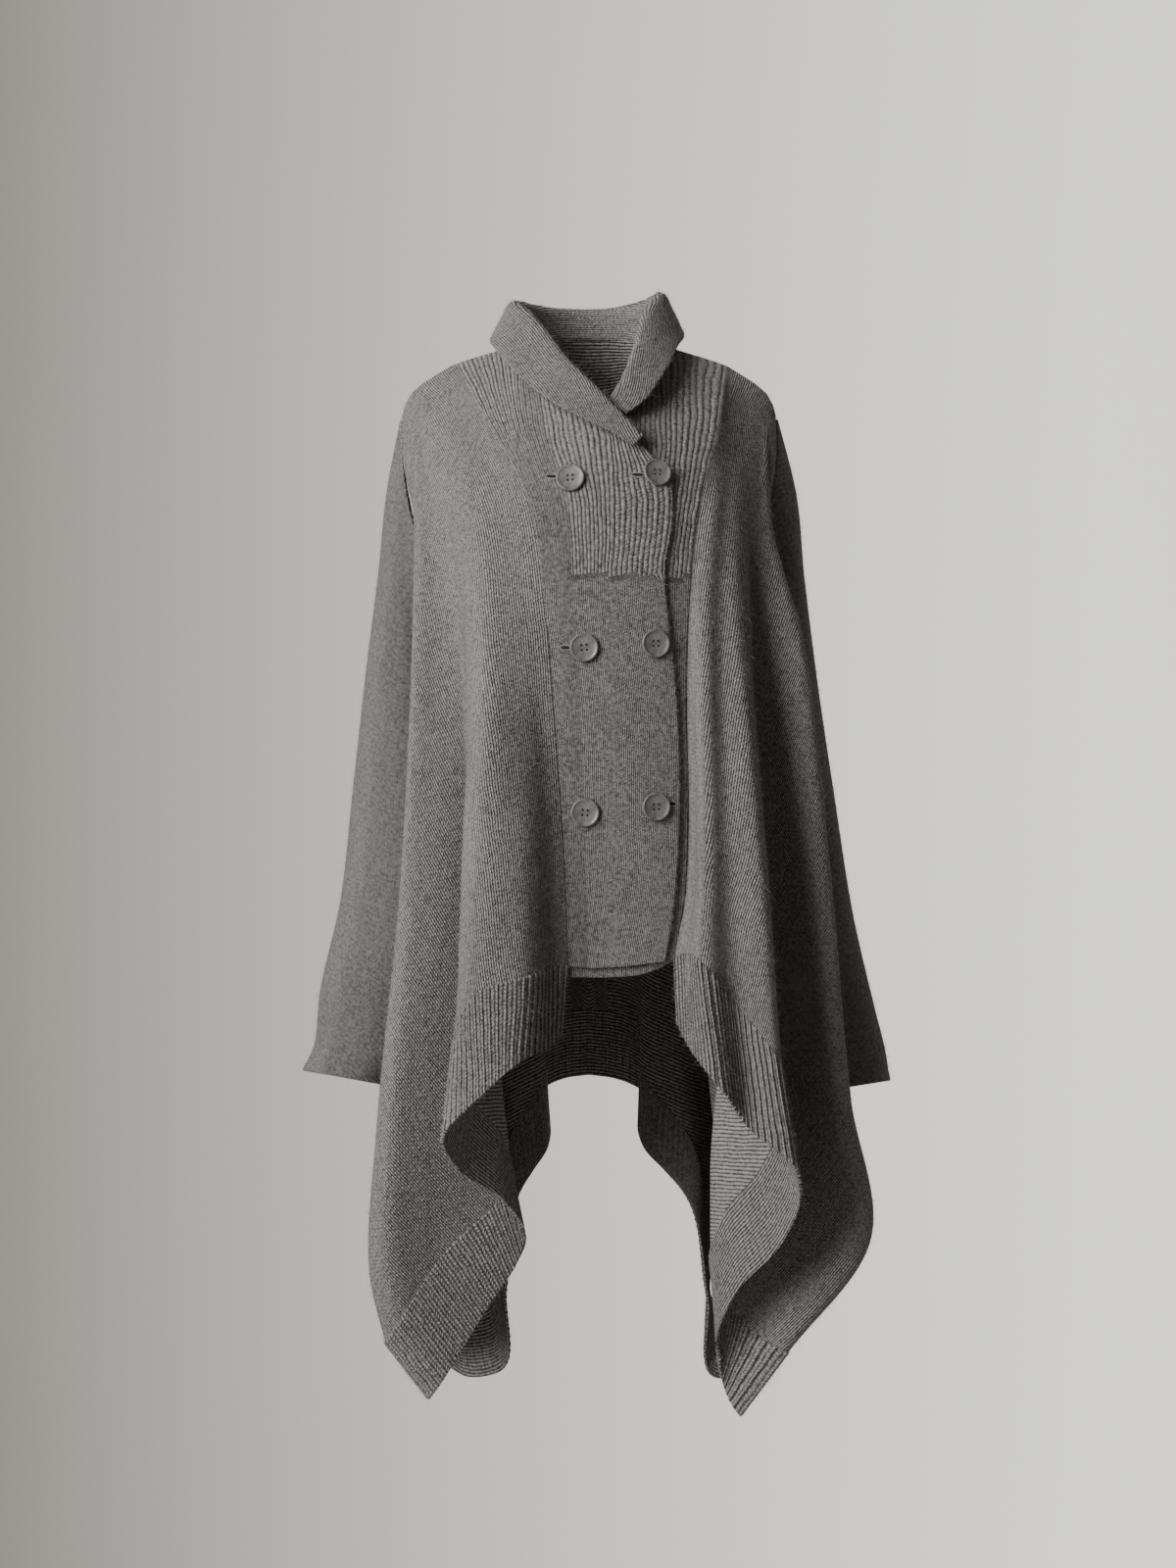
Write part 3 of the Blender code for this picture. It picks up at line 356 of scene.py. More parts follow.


def knit_material(name, colour, wale, course, purl=False, ribbed=0.0, contrast=0.85,
                  lift=2.2 * MM, fade=None):
    """Heathered knit: V stitches in columns of width wale, read from the piece's map in metres.

    purl shows the bumps of the reverse; ribbed paints shade into the valleys between the columns;
    fade gives the heights between which the stitches' painted shade dies away downwards.
    """
    made = bpy.data.materials.new(name)
    made.use_nodes = True
    tree = made.node_tree
    nodes, links = tree.nodes, tree.links
    shader = nodes["Principled BSDF"]

    def worked(operation, a, b=None, c=None):
        node = nodes.new("ShaderNodeMath")
        node.operation = operation
        for socket, value in zip(node.inputs, (a, b, c)):
            if value is None:
                continue
            if isinstance(value, (int, float)):
                socket.default_value = value
            else:
                links.new(value, socket)
        return node.outputs[0]

    def noise(scale, detail, rough, source):
        node = nodes.new("ShaderNodeTexNoise")
        node.inputs["Scale"].default_value = scale
        node.inputs["Detail"].default_value = detail
        node.inputs["Roughness"].default_value = rough
        links.new(source, node.inputs["Vector"])
        return node.outputs["Fac"]

    where = nodes.new("ShaderNodeTexCoord")
    split = nodes.new("ShaderNodeSeparateXYZ")
    links.new(where.outputs["UV"], split.inputs[0])
    wander = noise(STRAY_SCALE, 2.0, 0.5, where.outputs["Object"])
    across = worked("MULTIPLY_ADD", wander, wale * STRAY, split.outputs["X"])
    down = worked("MULTIPLY_ADD", wander, course, split.outputs["Y"])
    column = worked("FRACT", worked("DIVIDE", across, wale))
    out = worked("ABSOLUTE", worked("SUBTRACT", column, 0.5))
    leg = worked("SUBTRACT", worked("MULTIPLY", out, 4.0), 1.0)
    leg = worked("SUBTRACT", 1.0, worked("MULTIPLY", leg, leg))
    slant = 0.0 if purl else 1.5          # rows that the V's legs climb, to a column's width
    row = worked("FRACT", worked("MULTIPLY_ADD", out, slant, worked("DIVIDE", down, course)))
    bead = worked("SUBTRACT", worked("MULTIPLY", row, 2.0), 1.0)
    bead = worked("SUBTRACT", 1.0, worked("MULTIPLY", bead, bead))
    if purl:
        stitch = worked("MULTIPLY", bead, worked("MULTIPLY_ADD", leg, 0.3, 0.7))
    else:
        stitch = worked("MULTIPLY", leg, worked("MULTIPLY_ADD", bead, 0.5, 0.5))
    fluff = noise(FLUFF_SCALE, 3.0, 0.7, where.outputs["Object"])
    soft = noise(SOFT_SCALE, 2.0, 0.5, where.outputs["Object"])
    soft = worked("MULTIPLY", soft, SOFT_RELIEF)
    height = worked("ADD", stitch, worked("MULTIPLY_ADD", fluff, FLUFF_RELIEF, soft))
    bump = nodes.new("ShaderNodeBump")
    bump.inputs["Strength"].default_value = 1.0
    bump.inputs["Distance"].default_value = lift
    links.new(height, bump.inputs["Height"])
    links.new(bump.outputs["Normal"], shader.inputs["Normal"])

    if fade:
        place = nodes.new("ShaderNodeSeparateXYZ")
        links.new(where.outputs["Object"], place.inputs[0])
        fall = nodes.new("ShaderNodeMapRange")
        fall.inputs["From Min"].default_value, fall.inputs["From Max"].default_value = fade
        links.new(place.outputs["Z"], fall.inputs["Value"])
        stitch = worked("MULTIPLY_ADD", worked("SUBTRACT", stitch, 0.5), fall.outputs["Result"], 0.5)
        ribbed = 0.0
    marl = noise(MARL_SCALE, 2.0, 0.65, where.outputs["Object"])
    # Painted shade: the stitches' relief also goes into the colour, darker in the gaps between legs and rows
    # and lighter on the stitches' tops.
    tone = worked("MULTIPLY_ADD", stitch, contrast, TONE_START - contrast / 2)
    tone = worked("MULTIPLY_ADD", marl, MARL_CONTRAST, tone)
    patch = noise(PATCH_SCALE, 2.0, 0.5, where.outputs["Object"])
    tone = worked("MULTIPLY_ADD", patch, PATCH_CONTRAST, tone)
    # Painted shade: each column darkens towards its sides, into the valleys of the rib.
    if ribbed:
        valley = worked("MULTIPLY", out, 2.0)
        valley = worked("MULTIPLY", worked("MULTIPLY", valley, valley), -ribbed)
        tone = worked("ADD", tone, valley)
    ramp = nodes.new("ShaderNodeValToRGB")
    dark, light = ramp.color_ramp.elements
    dark.position, light.position = TONE_DARK, TONE_LIGHT
    dark.color = (*(DARK_SHARE * c for c in colour), 1)
    light.color = (*(LIGHT_SHARE * c for c in colour), 1)
    links.new(tone, ramp.inputs["Fac"])
    links.new(ramp.outputs["Color"], shader.inputs["Base Color"])
    shader.inputs["Roughness"].default_value = 0.95
    shader.inputs["Specular IOR Level"].default_value = 0.12
    shader.inputs["Sheen Weight"].default_value = 0.18
    shader.inputs["Sheen Roughness"].default_value = 0.55
    shader.inputs["Sheen Tint"].default_value = (0.86, 0.84, 0.80, 1)
    return made


def step_places(grid, axis, step, ends=True):
    """Places along a grid's axis about one step apart, with more of them close to its two ends."""
    legs = np.linalg.norm(np.diff(grid, axis=axis), axis=-1).mean(axis=1 - axis)
    reach = np.concatenate([[0], np.cumsum(legs)])
    run = np.linspace(0, reach[-1], max(3, int(round(reach[-1] / step)) + 1))
    if ends:
        close = np.array(EDGE_STEPS)
        run = np.unique(np.concatenate([run, close, reach[-1] - close]))
    return np.interp(run, reach, np.arange(len(reach)))


def unit(vectors):
    return vectors / np.maximum(np.linalg.norm(vectors, axis=-1, keepdims=True), 1e-12)


def refined(array, down, across):
    return through(through(array, down).swapaxes(0, 1), across).swapaxes(0, 1)


def fine_cloth(grid, normal, down, across):
    """A finer grid and its normals, read at places along the two ways of the first one."""
    return refined(grid, down, across), unit(refined(normal, down, across))


def edge_fall(grid, closed_across=False):
    """1 inside a grid and falling to EDGE_LEAST on its edges, so that the wall's edges are round."""
    down = np.concatenate([[0], np.cumsum(np.linalg.norm(np.diff(grid, axis=0), axis=-1).mean(axis=1))])
    across = np.concatenate([[0], np.cumsum(np.linalg.norm(np.diff(grid, axis=1), axis=-1).mean(axis=0))])
    near = np.minimum(down, down[-1] - down)[:, None] + 0 * across
    if not closed_across:
        near = np.minimum(near, np.minimum(across, across[-1] - across))
    part = np.clip(near / EDGE_ROUND, 0, 1)
    return EDGE_LEAST + (1 - EDGE_LEAST) * np.sqrt(1 - (1 - part) ** 2)


def lengths(grid):
    """Running length across and down a grid, from its first column and row."""
    across = np.cumsum(np.linalg.norm(np.diff(grid, axis=1, prepend=grid[:, :1]), axis=-1), axis=1)
    down = np.cumsum(np.linalg.norm(np.diff(grid, axis=0, prepend=grid[:1]), axis=-1), axis=0)
    return across, down


def chart_turn(chart):
    """The whole turn of a closed piece's map, along whichever of its two ways goes round."""
    turn = np.zeros(2)
    way = int(np.ptp(chart[0, :, 1]) > np.ptp(chart[0, :, 0]))
    turn[way] = np.ptp(chart[0, :, way]) * (1 + 1 / (chart.shape[1] - 1))
    return turn


outer_points = {}          # of each cloth piece's outer face, for the halo that is brushed out of it
outward_sign = {}


def cloth(name, node, inner, normal, height, chart, faces_material, back_material,
          closed_across=False):
    """A rounded knitted wall over the inner grid, with its map, that stands for a CAD node.

    height is the outer side's extra height; chart holds the stitch map in metres.
    """
    fall = edge_fall(inner, closed_across)[..., None]
    height = np.broadcast_to(height, inner.shape[:2])[..., None]
    low = inner + normal * WALL * 0.5 * (1 - fall)
    high = inner + normal * (WALL * 0.5 * (1 + fall) + height * fall)
    downs, acrosses = inner.shape[:2]
    count = downs * acrosses
    index = np.arange(count).reshape(downs, acrosses)
    if closed_across:
        index = np.concatenate([index, index[:, :1]], axis=1)
    a, b, c, d = index[:-1, :-1], index[:-1, 1:], index[1:, 1:], index[1:, :-1]
    inside = np.stack([a, b, c, d], axis=-1).reshape(-1, 4)
    quads = [count + inside[:, ::-1], inside]
    for rim in (index[0], index[-1][::-1]):
        quads.append(np.stack([rim[:-1], count + rim[:-1], count + rim[1:], rim[1:]], axis=-1))
    if not closed_across:
        for rim in (index[:, 0][::-1], index[:, -1]):
            quads.append(np.stack([rim[:-1], count + rim[:-1], count + rim[1:], rim[1:]], axis=-1))
    kinds = np.concatenate([np.full(len(q), 1 if i == 1 else 0) for i, q in enumerate(quads)])
    faces = np.concatenate(quads)
    points = np.concatenate([low.reshape(-1, 3), high.reshape(-1, 3)])
    edge_a = points[faces[0][1]] - points[faces[0][0]]
    edge_b = points[faces[0][3]] - points[faces[0][0]]
    if np.dot(np.cross(edge_a, edge_b), normal.reshape(-1, 3)[faces[0][0] - count]) < 0:
        faces = faces[:, ::-1]
    mesh = bpy.data.meshes.new(name)
    mesh.from_pydata(points.tolist(), [], faces.tolist())
    flat = chart.reshape(-1, 2)
    flat = np.concatenate([flat, flat])
    loops = np.empty(len(mesh.loops), int)
    mesh.loops.foreach_get("vertex_index", loops)
    corner = flat[loops].reshape(-1, 4, 2)
    if closed_across:
        jump = corner.max(axis=1, keepdims=True) - corner
        corner = np.where(jump > 0.5 * chart.max(axis=(0, 1)), corner + chart_turn(chart), corner)
    mesh.uv_layers.new(name="stitches").data.foreach_set("uv", corner.reshape(-1).astype(np.float32))
    mesh.materials.append(faces_material)
    mesh.materials.append(back_material)
    mesh.polygons.foreach_set("material_index", kinds.astype(np.int32))
    mesh.shade_smooth()
    piece = bpy.data.objects.new(name, mesh)
    scene.collection.objects.link(piece)
    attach(piece, "root")
    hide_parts(node)
    outer_points[node] = high
    cell = np.cross(high[1, 0] - high[0, 0], high[0, 1] - high[0, 0])
    outward_sign[node] = 1 if np.dot(cell, normal[0, 0]) > 0 else -1
    return piece


WOOL = (0.205, 0.200, 0.188)
PLAIN_STITCH = (4.8 * MM, 3.9 * MM)       # width and height of a stitch
FINE_STITCH = (3.6 * MM, 3.0 * MM)
YOKE_PITCH = 6.5 * MM
RIB_COURSE = 3.6 * MM      # height of a stitch in the ribs
PLAIN_BELOW = -0.225       # height where the ribbed yoke gives way to fine plain knit
# heights between which the yoke's painted stitch shade dies away downwards
YOKE_CONTRAST_DIES = (PLAIN_BELOW - 0.01, PLAIN_BELOW + 0.10)
plain_face = knit_material("plain_knit", WOOL, *PLAIN_STITCH)
plain_back = knit_material("purl_back", WOOL, *PLAIN_STITCH, purl=True)
fine_face = knit_material("fine_plain_knit", WOOL, *FINE_STITCH, contrast=0.6, lift=2.0 * MM)
yoke_face = knit_material("yoke_rib", WOOL, YOKE_PITCH, RIB_COURSE, contrast=0.62, fade=YOKE_CONTRAST_DIES)

right, right_normal, right_split = front_grid(
    FRONT_RIGHT, WING_RIGHT, WELT_START_RIGHT, 1, YOKE_COLUMNS_RIGHT, 1)
left, left_normal, left_split = front_grid(
    FRONT_LEFT, WING_LEFT, WELT_START_LEFT, 0, YOKE_COLUMNS_LEFT, -1)
TURNED_HEM = 8 * MM        # the fronts' lower edge is turned up this far, and so are the cuffs
TURNED_HEIGHT = 0.6 * MM
TURNED_SLOPE = 0.6 * MM    # the turned edge rises over this length
RIB_FADE_FROM, RIB_FADE_TO = 2.2, 3.2    # stations between which the yoke's rib dies away
SEAM_COLUMNS = np.array([0.03, 0.1])     # extra columns this near the two sides, in ribs


def turned_edge(length):
    """Extra height of the cloth where its lower edge is turned up; length runs down from the top."""
    return np.clip((length - length[-1:] + TURNED_HEM) / TURNED_SLOPE, 0, 1) * TURNED_HEIGHT


for name, node, grid, normal, split, cut, rib_share in (
        ("right_front_panel", "front_right", right, right_normal, right_split, (0.28, 0.67, 0.075), 0.9),
        ("left_front_panel", "front_left", left, left_normal, left_split, (0.26, 0.66, 0.080), 0.5)):
    panel_normal = normal[:BAND_ROW + 1, :split + 1]
    panel = grid[:BAND_ROW + 1, :split + 1]
    down = step_places(panel, 0, CLOTH_STEP)
    across = np.linspace(0, split, split * RIB_POINTS // 2 + 1)
    across = np.unique(np.concatenate([across, SEAM_COLUMNS, split - SEAM_COLUMNS]))
    fine, fine_normal = fine_cloth(panel, panel_normal, down, across)
    station = np.interp(down, np.arange(BAND_ROW + 1), DOWN_PLACES[:BAND_ROW + 1])
    fade = np.interp(station, (0, 0.4, RIB_FADE_FROM, RIB_FADE_TO), (0.2, 1, 1, 0))[:, None]
    rib = fade * (0.5 - 0.5 * np.cos(math.pi * across)) * YOKE_RIB_HEIGHT
    width, length = lengths(fine)
    height = rib * rib_share + turned_edge(length)
    columns = np.where(fine[..., 2] > PLAIN_BELOW, across / 2 * YOKE_PITCH, width)
    chart = np.stack([columns, length], axis=-1)
    panel_piece = cloth(name, node, fine, fine_normal, height, chart, yoke_face, plain_back)
    panel_piece.data.materials.append(fine_face)
    for face in panel_piece.data.polygons:
        if face.material_index == 0 and face.center.z < PLAIN_BELOW:
            face.material_index = 2


# Wide cape fronts: one knitted piece a side, from the shoulder over the arm to the welt, in plain knit
# whose columns run along the front panel's seam. Cut to a curve and hung, so the sides fall in deep folds.
for side, grid, normal, split in (("right", right, right_normal, right_split),
                                  ("left", left, left_normal, left_split)):
    wing, wing_normal = grid[:BAND_ROW + 1, split:], normal[:BAND_ROW + 1, split:]
    down, across = step_places(wing, 0, CLOTH_STEP), step_places(wing, 1, CLOTH_STEP)
    fine, fine_normal = fine_cloth(wing, wing_normal, down, across)
    width, length = lengths(fine)
    chart = np.stack([width, length], axis=-1)
    wing_piece = cloth(side + "_cape_front", "wing_" + side, fine, fine_normal, 0, chart,
                       plain_face, plain_back)


# Back: one wide knitted piece from the shoulders and the back neck to the welt, plain knit,
# hung from the shoulder seams in the same soft folds as the fronts.
# The left side of the back spreads further at the hem than the right, by these widths in mm.
BACK_LEFT_SPREAD = {"side": 16, "tail": 36, "inside": 26, "lobe": 12, "hollow": 4}
BACK_ARMHOLE = ((-189, -50, 8), (-186, -98, 40), (-166, -176, 60), (-152, -270, 54))
BACK_HALF = {
    "pass": ((-184, -38, 11), (-180, -92, 50), (-172, -174, 76), (-164, -272, 80), (-146, -370, 66),
             (-132, -540, 64), (-136, -720, 64), (-142, -850, 66), (-148, -920, 68), (-152, -990, 68)),
    "side": ((-178, -26, 10), (-172, -84, 60), (-168, -172, 92), (-170, -275, 104), (-178, -390, 104),
             (-186, -560, 106), (-190, -740, 110), (-186, -860, 112), (-178, -930, 114), (-162, -1004, 116)),
    "tail": ((-168, -18, 9), (-156, -78, 70), (-148, -168, 108), (-146, -275, 122), (-148, -400, 128),
             (-146, -580, 132), (-140, -760, 134), (-134, -880, 134), (-128, -965, 132), (-115, -1034, 126)),
    "inside": ((-156, -10, 8), (-134, -66, 84), (-120, -160, 120), (-112, -270, 128), (-106, -400, 120),
               (-96, -540, 106), (-88, -660, 94), (-82, -720, 86), (-78, -778, 80), (-71, -842, 74)),
    "lobe": ((-140, 0, 6), (-112, -58, 90), (-92, -150, 126), (-80, -265, 134), (-70, -395, 128),
             (-60, -520, 118), (-52, -620, 108), (-48, -670, 104), (-44, -718, 100), (-38, -786, 96)),
    "hollow": ((-122, 8, 4), (-88, -50, 92), (-62, -140, 130), (-50, -260, 142), (-44, -390, 146),
               (-42, -510, 148), (-42, -590, 148), (-44, -632, 148), (-46, -668, 146), (-49, -738, 144)),
    "neck": ((-84, 18, 0), (-54, -34, 84), (-32, -130, 130), (-24, -255, 146), (-20, -385, 154),
             (-18, -500, 160), (-18, -570, 160), (-18, -618, 158), (-18, -656, 156), (-18, -724, 154)),
    "nape": ((-46, 26, 46), (-26, -30, 88), (-16, -128, 130), (-12, -252, 146), (-10, -382, 155),
             (-9, -500, 161), (-9, -570, 161), (-9, -617, 159), (-9, -655, 157), (-9, -723, 155)),
    "centre": ((0, 27, 58), (0, -28, 92), (0, -125, 130), (0, -250, 146), (0, -380, 156),
               (0, -500, 162), (0, -570, 162), (0, -616, 160), (0, -654, 158), (0, -722, 156)),
}


def back_lines(wing_right_edge, wing_left_edge):
    """Lines of the back from right to left; below the armholes its sides are the wings' edges."""
    mirror = np.array([-1, 1, 1])
    half = [placed(line) for line in BACK_HALF.values()]
    other = []
    for name, line in BACK_HALF.items():
        spread = np.interp(range(len(STATIONS)), (WAIST, HEM), (0, BACK_LEFT_SPREAD.get(name, 0)))
        other.append(placed(line * mirror + np.outer(spread, (1, 0, 0))))
    armhole = placed(BACK_ARMHOLE)
    right = np.vstack([armhole, wing_right_edge[WAIST:]])
    left = np.vstack([armhole * mirror, wing_left_edge[WAIST:]])
    return [right] + half + other[-2::-1] + [left]


BACK_COLUMNS_PER_LINE = 2.5
lines = back_lines(*[placed(wing["edge"]) for wing in (WING_RIGHT, WING_LEFT)])
back_across = np.linspace(0, len(lines) - 1, int(BACK_COLUMNS_PER_LINE * (len(lines) - 1)) + 1)
back = on_shoulder_line(spread_sheet(lines, back_across, DOWN_PLACES), 1)
back_normal = facing(back, 1)
for half_normal, column in ((right_normal, 0), (left_normal, -1)):
    shared = half_normal[UNDERARM_ROW:, -1] + back_normal[UNDERARM_ROW:, column]
    shared = unit(shared)
    half_normal[UNDERARM_ROW:, -1] = back_normal[UNDERARM_ROW:, column] = shared
back_panel = back[:BAND_ROW + 1]
down, across = step_places(back_panel, 0, CLOTH_STEP), step_places(back_panel, 1, CLOTH_STEP)
fine, fine_normal = fine_cloth(back_panel, back_normal[:BAND_ROW + 1], down, across)
width, length = lengths(fine)
middle = width[:, width.shape[1] // 2][:, None]
back_piece = cloth("cape_back", "back", fine, fine_normal, 0, np.stack([width - middle, length], axis=-1),
                   plain_face, plain_back)


# Hem welt: three bands of 2 by 2 rib, knitted on to the lower edges of the fronts and back
# and cast off loosely, so that they stand a little stiffer than the cloth above them.
WELT_RIB_PITCH = 8.0 * MM
WELT_RIB_HEIGHT = 1.6 * MM
WELT_RIB_FULLNESS = 0.75   # a power: under 1 the ribs are fuller than a plain wave
WELT_SIDE_COLUMNS = np.array([0.04, 0.12])     # extra columns this near the two sides, in ribs
WELT_LAP = 1.4 * MM        # the welt is picked up from the last row of the cloth above
# ribbed paints shade into the valleys between the welt's ribs
rib_face = knit_material("rib_welt", WOOL, WELT_RIB_PITCH, RIB_COURSE, ribbed=0.38)
rib_back = knit_material("rib_welt_back", WOOL, WELT_RIB_PITCH, RIB_COURSE, purl=True, ribbed=0.2)
for side, grid, normal in (("right", right[BAND_ROW:, right_split:], right_normal[BAND_ROW:, right_split:]),
                           ("left", left[BAND_ROW:, left_split:], left_normal[BAND_ROW:, left_split:]),
                           ("back", back[BAND_ROW:], back_normal[BAND_ROW:])):
    hem = np.concatenate([[0], np.cumsum(np.linalg.norm(np.diff(grid[-1], axis=0), axis=-1))])
    count = int(round(hem[-1] / WELT_RIB_PITCH))
    ribs = np.linspace(0, count, count * RIB_POINTS + 1)
    ribs = np.unique(np.concatenate([ribs, WELT_SIDE_COLUMNS, count - WELT_SIDE_COLUMNS]))
    across = np.interp(ribs / count * hem[-1], hem, np.arange(len(hem)))
    down = step_places(grid, 0, CLOTH_STEP)
    fine, fine_normal = fine_cloth(grid, normal, down, across)
    fine[0] -= unit(fine[2] - fine[0]) * WELT_LAP
    width, length = lengths(fine)
    wave = (0.5 - 0.5 * np.cos(2 * math.pi * ribs)) ** WELT_RIB_FULLNESS * WELT_RIB_HEIGHT
    chart = np.stack([np.broadcast_to(ribs * WELT_RIB_PITCH, width.shape), length], axis=-1)
    band_piece = cloth("welt_" + side, "band_" + side, fine, fine_normal, wave, chart, rib_face, rib_back)


# Sleeves: long plain tubes knitted sideways, set into the dropped armholes and worn on the arm,
# with a small turned edge at the cuff.
ARMHOLE_EASE = 1.8         # the sleeve starts this many times as far out as its wall needs
LEAST_LEAN = 0.05          # keeps that from growing without end where the sleeve leaves sideways
# Rings down the arm: the outer and inner edge's across and up, the middle's depth, half the tube's depth.
SLEEVE_RIGHT = {
    "cap": (-202, -112, -158, -352, 20, 39), "arm": (-213, -210, -155, -400, 18, 41),
    "above_elbow": (-225, -305, -150, -440, 16, 44), "elbow": (-239, -430, -142, -505, 16, 44),
    "forearm": (-252, -545, -152, -592, 14, 44), "wrist": (-273, -640, -174, -664, 12, 42),
    "turn": (-279, -693, -190, -708, 10, 42), "cuff": (-290, -718, -206, -732, 10, 43),
}
SLEEVE_LEFT = {
    "cap": (207, -116, 160, -352, 20, 39), "arm": (218, -216, 157, -400, 18, 41),
    "above_elbow": (230, -312, 153, -440, 16, 44), "elbow": (249, -440, 146, -505, 16, 44),
    "forearm": (268, -560, 162, -600, 14, 44), "wrist": (290, -655, 188, -680, 12, 42),
    "turn": (301, -700, 204, -716, 10, 42), "cuff": (305, -728, 216, -742, 10, 43),
}


def armhole_loop(front, front_normal, back, back_normal, back_column):
    """Loop of an armhole: down the wing's edge to the underarm and up the back's."""
    top = slice(0, UNDERARM_ROW + 1)
    inward = {0: 1, -1: -2}[back_column]
    loop = np.vstack([front[top, -1], back[top, back_column][::-1]])
    normal = np.vstack([front_normal[top, -1], back_normal[top, back_column][::-1]])
    front_beyond = front[top, -1] - front[top, -2]
    back_beyond = back[top, back_column] - back[top, inward]
    return loop, normal, unit(np.vstack([front_beyond, back_beyond[::-1]]))


def sleeve_grid(table, armhole):
    """A tube whose first ring follows the armhole and whose last is the open cuff.

    armhole holds the points of its loop, their normals, and the way that the body's cloth points there.
    """
    loop, loop_normal, beyond = armhole
    count = len(loop)
    turn = (np.arange(count) + 0.5) / count * 2 * math.pi
    rings = []
    for outer_x, outer_up, inner_x, inner_up, depth, half_depth in table.values():
        outer, inner = np.array((outer_x, outer_up)), np.array((inner_x, inner_up))
        middle, reach = (outer + inner) / 2, (outer - inner) / 2
        flat = middle + np.cos(turn)[:, None] * reach
        rings.append(placed(np.column_stack([flat, depth - half_depth * np.sin(turn)])))
    away = unit(rings[0] - loop)
    radial = unit(rings[0] - rings[0].mean(axis=0))
    past_face = (WALL + SEAM_GAP) / np.maximum((away * loop_normal).sum(axis=1), LEAST_LEAN)
    back_lean = WALL * np.maximum(0, -(radial * beyond).sum(axis=1))
    past_edge = (SEAM_GAP + back_lean) / np.maximum((away * beyond).sum(axis=1), LEAST_LEAN)
    start = loop + away * np.minimum(past_face, past_edge)[:, None] * ARMHOLE_EASE
    lines = np.stack([start] + rings)
    grid = through(lines, np.concatenate([np.linspace(0, 1, 3), np.arange(2, len(lines))]))
    ring = np.concatenate([grid[:, -1:], grid, grid[:, :1]], axis=1)
    normal = facing(ring, 1)[:, 1:-1]
    if ((grid - grid.mean(axis=1, keepdims=True)) * normal).sum() < 0:
        normal = -normal
    return grid, normal


for side, table, grid, normal, column in (("right", SLEEVE_RIGHT, right, right_normal, 0),
                                          ("left", SLEEVE_LEFT, left, left_normal, -1)):
    tube, tube_normal = sleeve_grid(table, armhole_loop(grid, normal, back, back_normal, column))
    down = step_places(tube, 0, CLOTH_STEP)
    closed = np.concatenate([tube, tube[:, :1]], axis=1)
    closed_normal = np.concatenate([tube_normal, tube_normal[:, :1]], axis=1)
    across = step_places(closed, 1, CLOTH_STEP, ends=False)[:-1]
    fine, fine_normal = fine_cloth(closed, closed_normal, down, across)
    width, length = lengths(fine)
    around = np.broadcast_to(np.linspace(0, 1, width.shape[1])[None] * width[:, -1:].mean(), width.shape)
    chart = np.stack([length, around], axis=-1)
    sleeve_piece = cloth(side + "_sleeve", "sleeve_" + side, fine, fine_normal, turned_edge(length), chart,
                         plain_face, plain_back, closed_across=True)


# Collar: one shawl collar knitted as a strip along its length, sewn to the neck edge,
# rolled over and laid down, with its right end over its left end at the centre front.
COLLAR_RIB_HEIGHT = 0.7 * MM
COLLAR_LIFT = -1.3 * MM    # the collar starts in the middle of the cloth that it is sewn to
COLLAR_CROSSING = 20 * MM  # across, where the left end goes under the right end
COLLAR_ROWS = 27
COLLAR_COLUMNS = 13
COLLAR_STEP_ALONG, COLLAR_STEP_ACROSS = 4.5 * MM, 3.2 * MM
# Sections from the right end round the neck to the left end: the neck edge, the roll and the fall's edge.
COLLAR = (
    ((48, -69, -110), (54, -71, -117), (45, -80, -118)),
    ((30, -60, -110), (39, -55, -116), (24, -67, -120)),
    ((8, -47, -107), (20, -35, -112), (4, -57, -120)),
    ((-20, -31, -97), (3, -17, -103), (-25, -43, -115)),
    ((-44, -13, -78), (-18, 3, -86), (-54, -24, -98)),
    ((-66, 6, -50), (-38, 28, -60), (-78, -2, -74)),
    ((-80, 24, -18), (-60, 54, -30), (-95, 18, -38)),
    ((-84, 32, 12), (-76, 66, 0), (-99, 26, 2)),
    ((-64, 36, 44), (-60, 62, 36), (-83, 33, 52)),
    ((-34, 37, 62), (-32, 58, 58), (-45, 29, 84)),
    ((0, 37, 68), (0, 57, 66), (0, 27, 94)),
    ((34, 37, 62), (34, 60, 58), (45, 30, 84)),
    ((64, 36, 44), (62, 68, 36), (83, 36, 52)),
    ((84, 31, 12), (72, 75, 0), (95, 30, 4)),
    ((82, 21, -14), (57, 56, -28), (89, 20, -32)),
    ((68, 4, -42), (50, 28, -52), (81, 2, -62)),
    ((54, -12, -66), (42, 4, -76), (70, -16, -86)),
    ((40, -26, -84), (31, -20, -90), (55, -36, -100)),
    ((26, -38, -92), (20, -36, -97), (38, -48, -106)),
)


def neckline(panels):
    """The neck edge of (grid, normal, least x) panels, just clear of their outer faces."""
    edges = []
    for grid, normal, least in panels:
        within = (grid[0][:, 0] > least) & (grid[0][:, 0] < SHOULDER_ACROSS[0] * MM)
        edges.append((grid[0] + normal[0] * (WALL + COLLAR_LIFT))[within])
    return np.vstack(edges)


def collar_grid(neck_edge):
    """A strip that stands on the neck edge, rolls over and falls."""
    rows = placed(COLLAR)
    for row in rows:
        row[0] = neck_edge[np.argmin(np.linalg.norm(neck_edge - row[0], axis=1))]
    grid = np.stack([through(section, np.linspace(0, 2, COLLAR_COLUMNS))
                     for section in through(rows, np.linspace(0, len(rows) - 1, COLLAR_ROWS))])
    normal = facing(grid, 1)
    if normal[COLLAR_ROWS // 2, -1, 1] < 0:
        normal = -normal
    return grid, normal


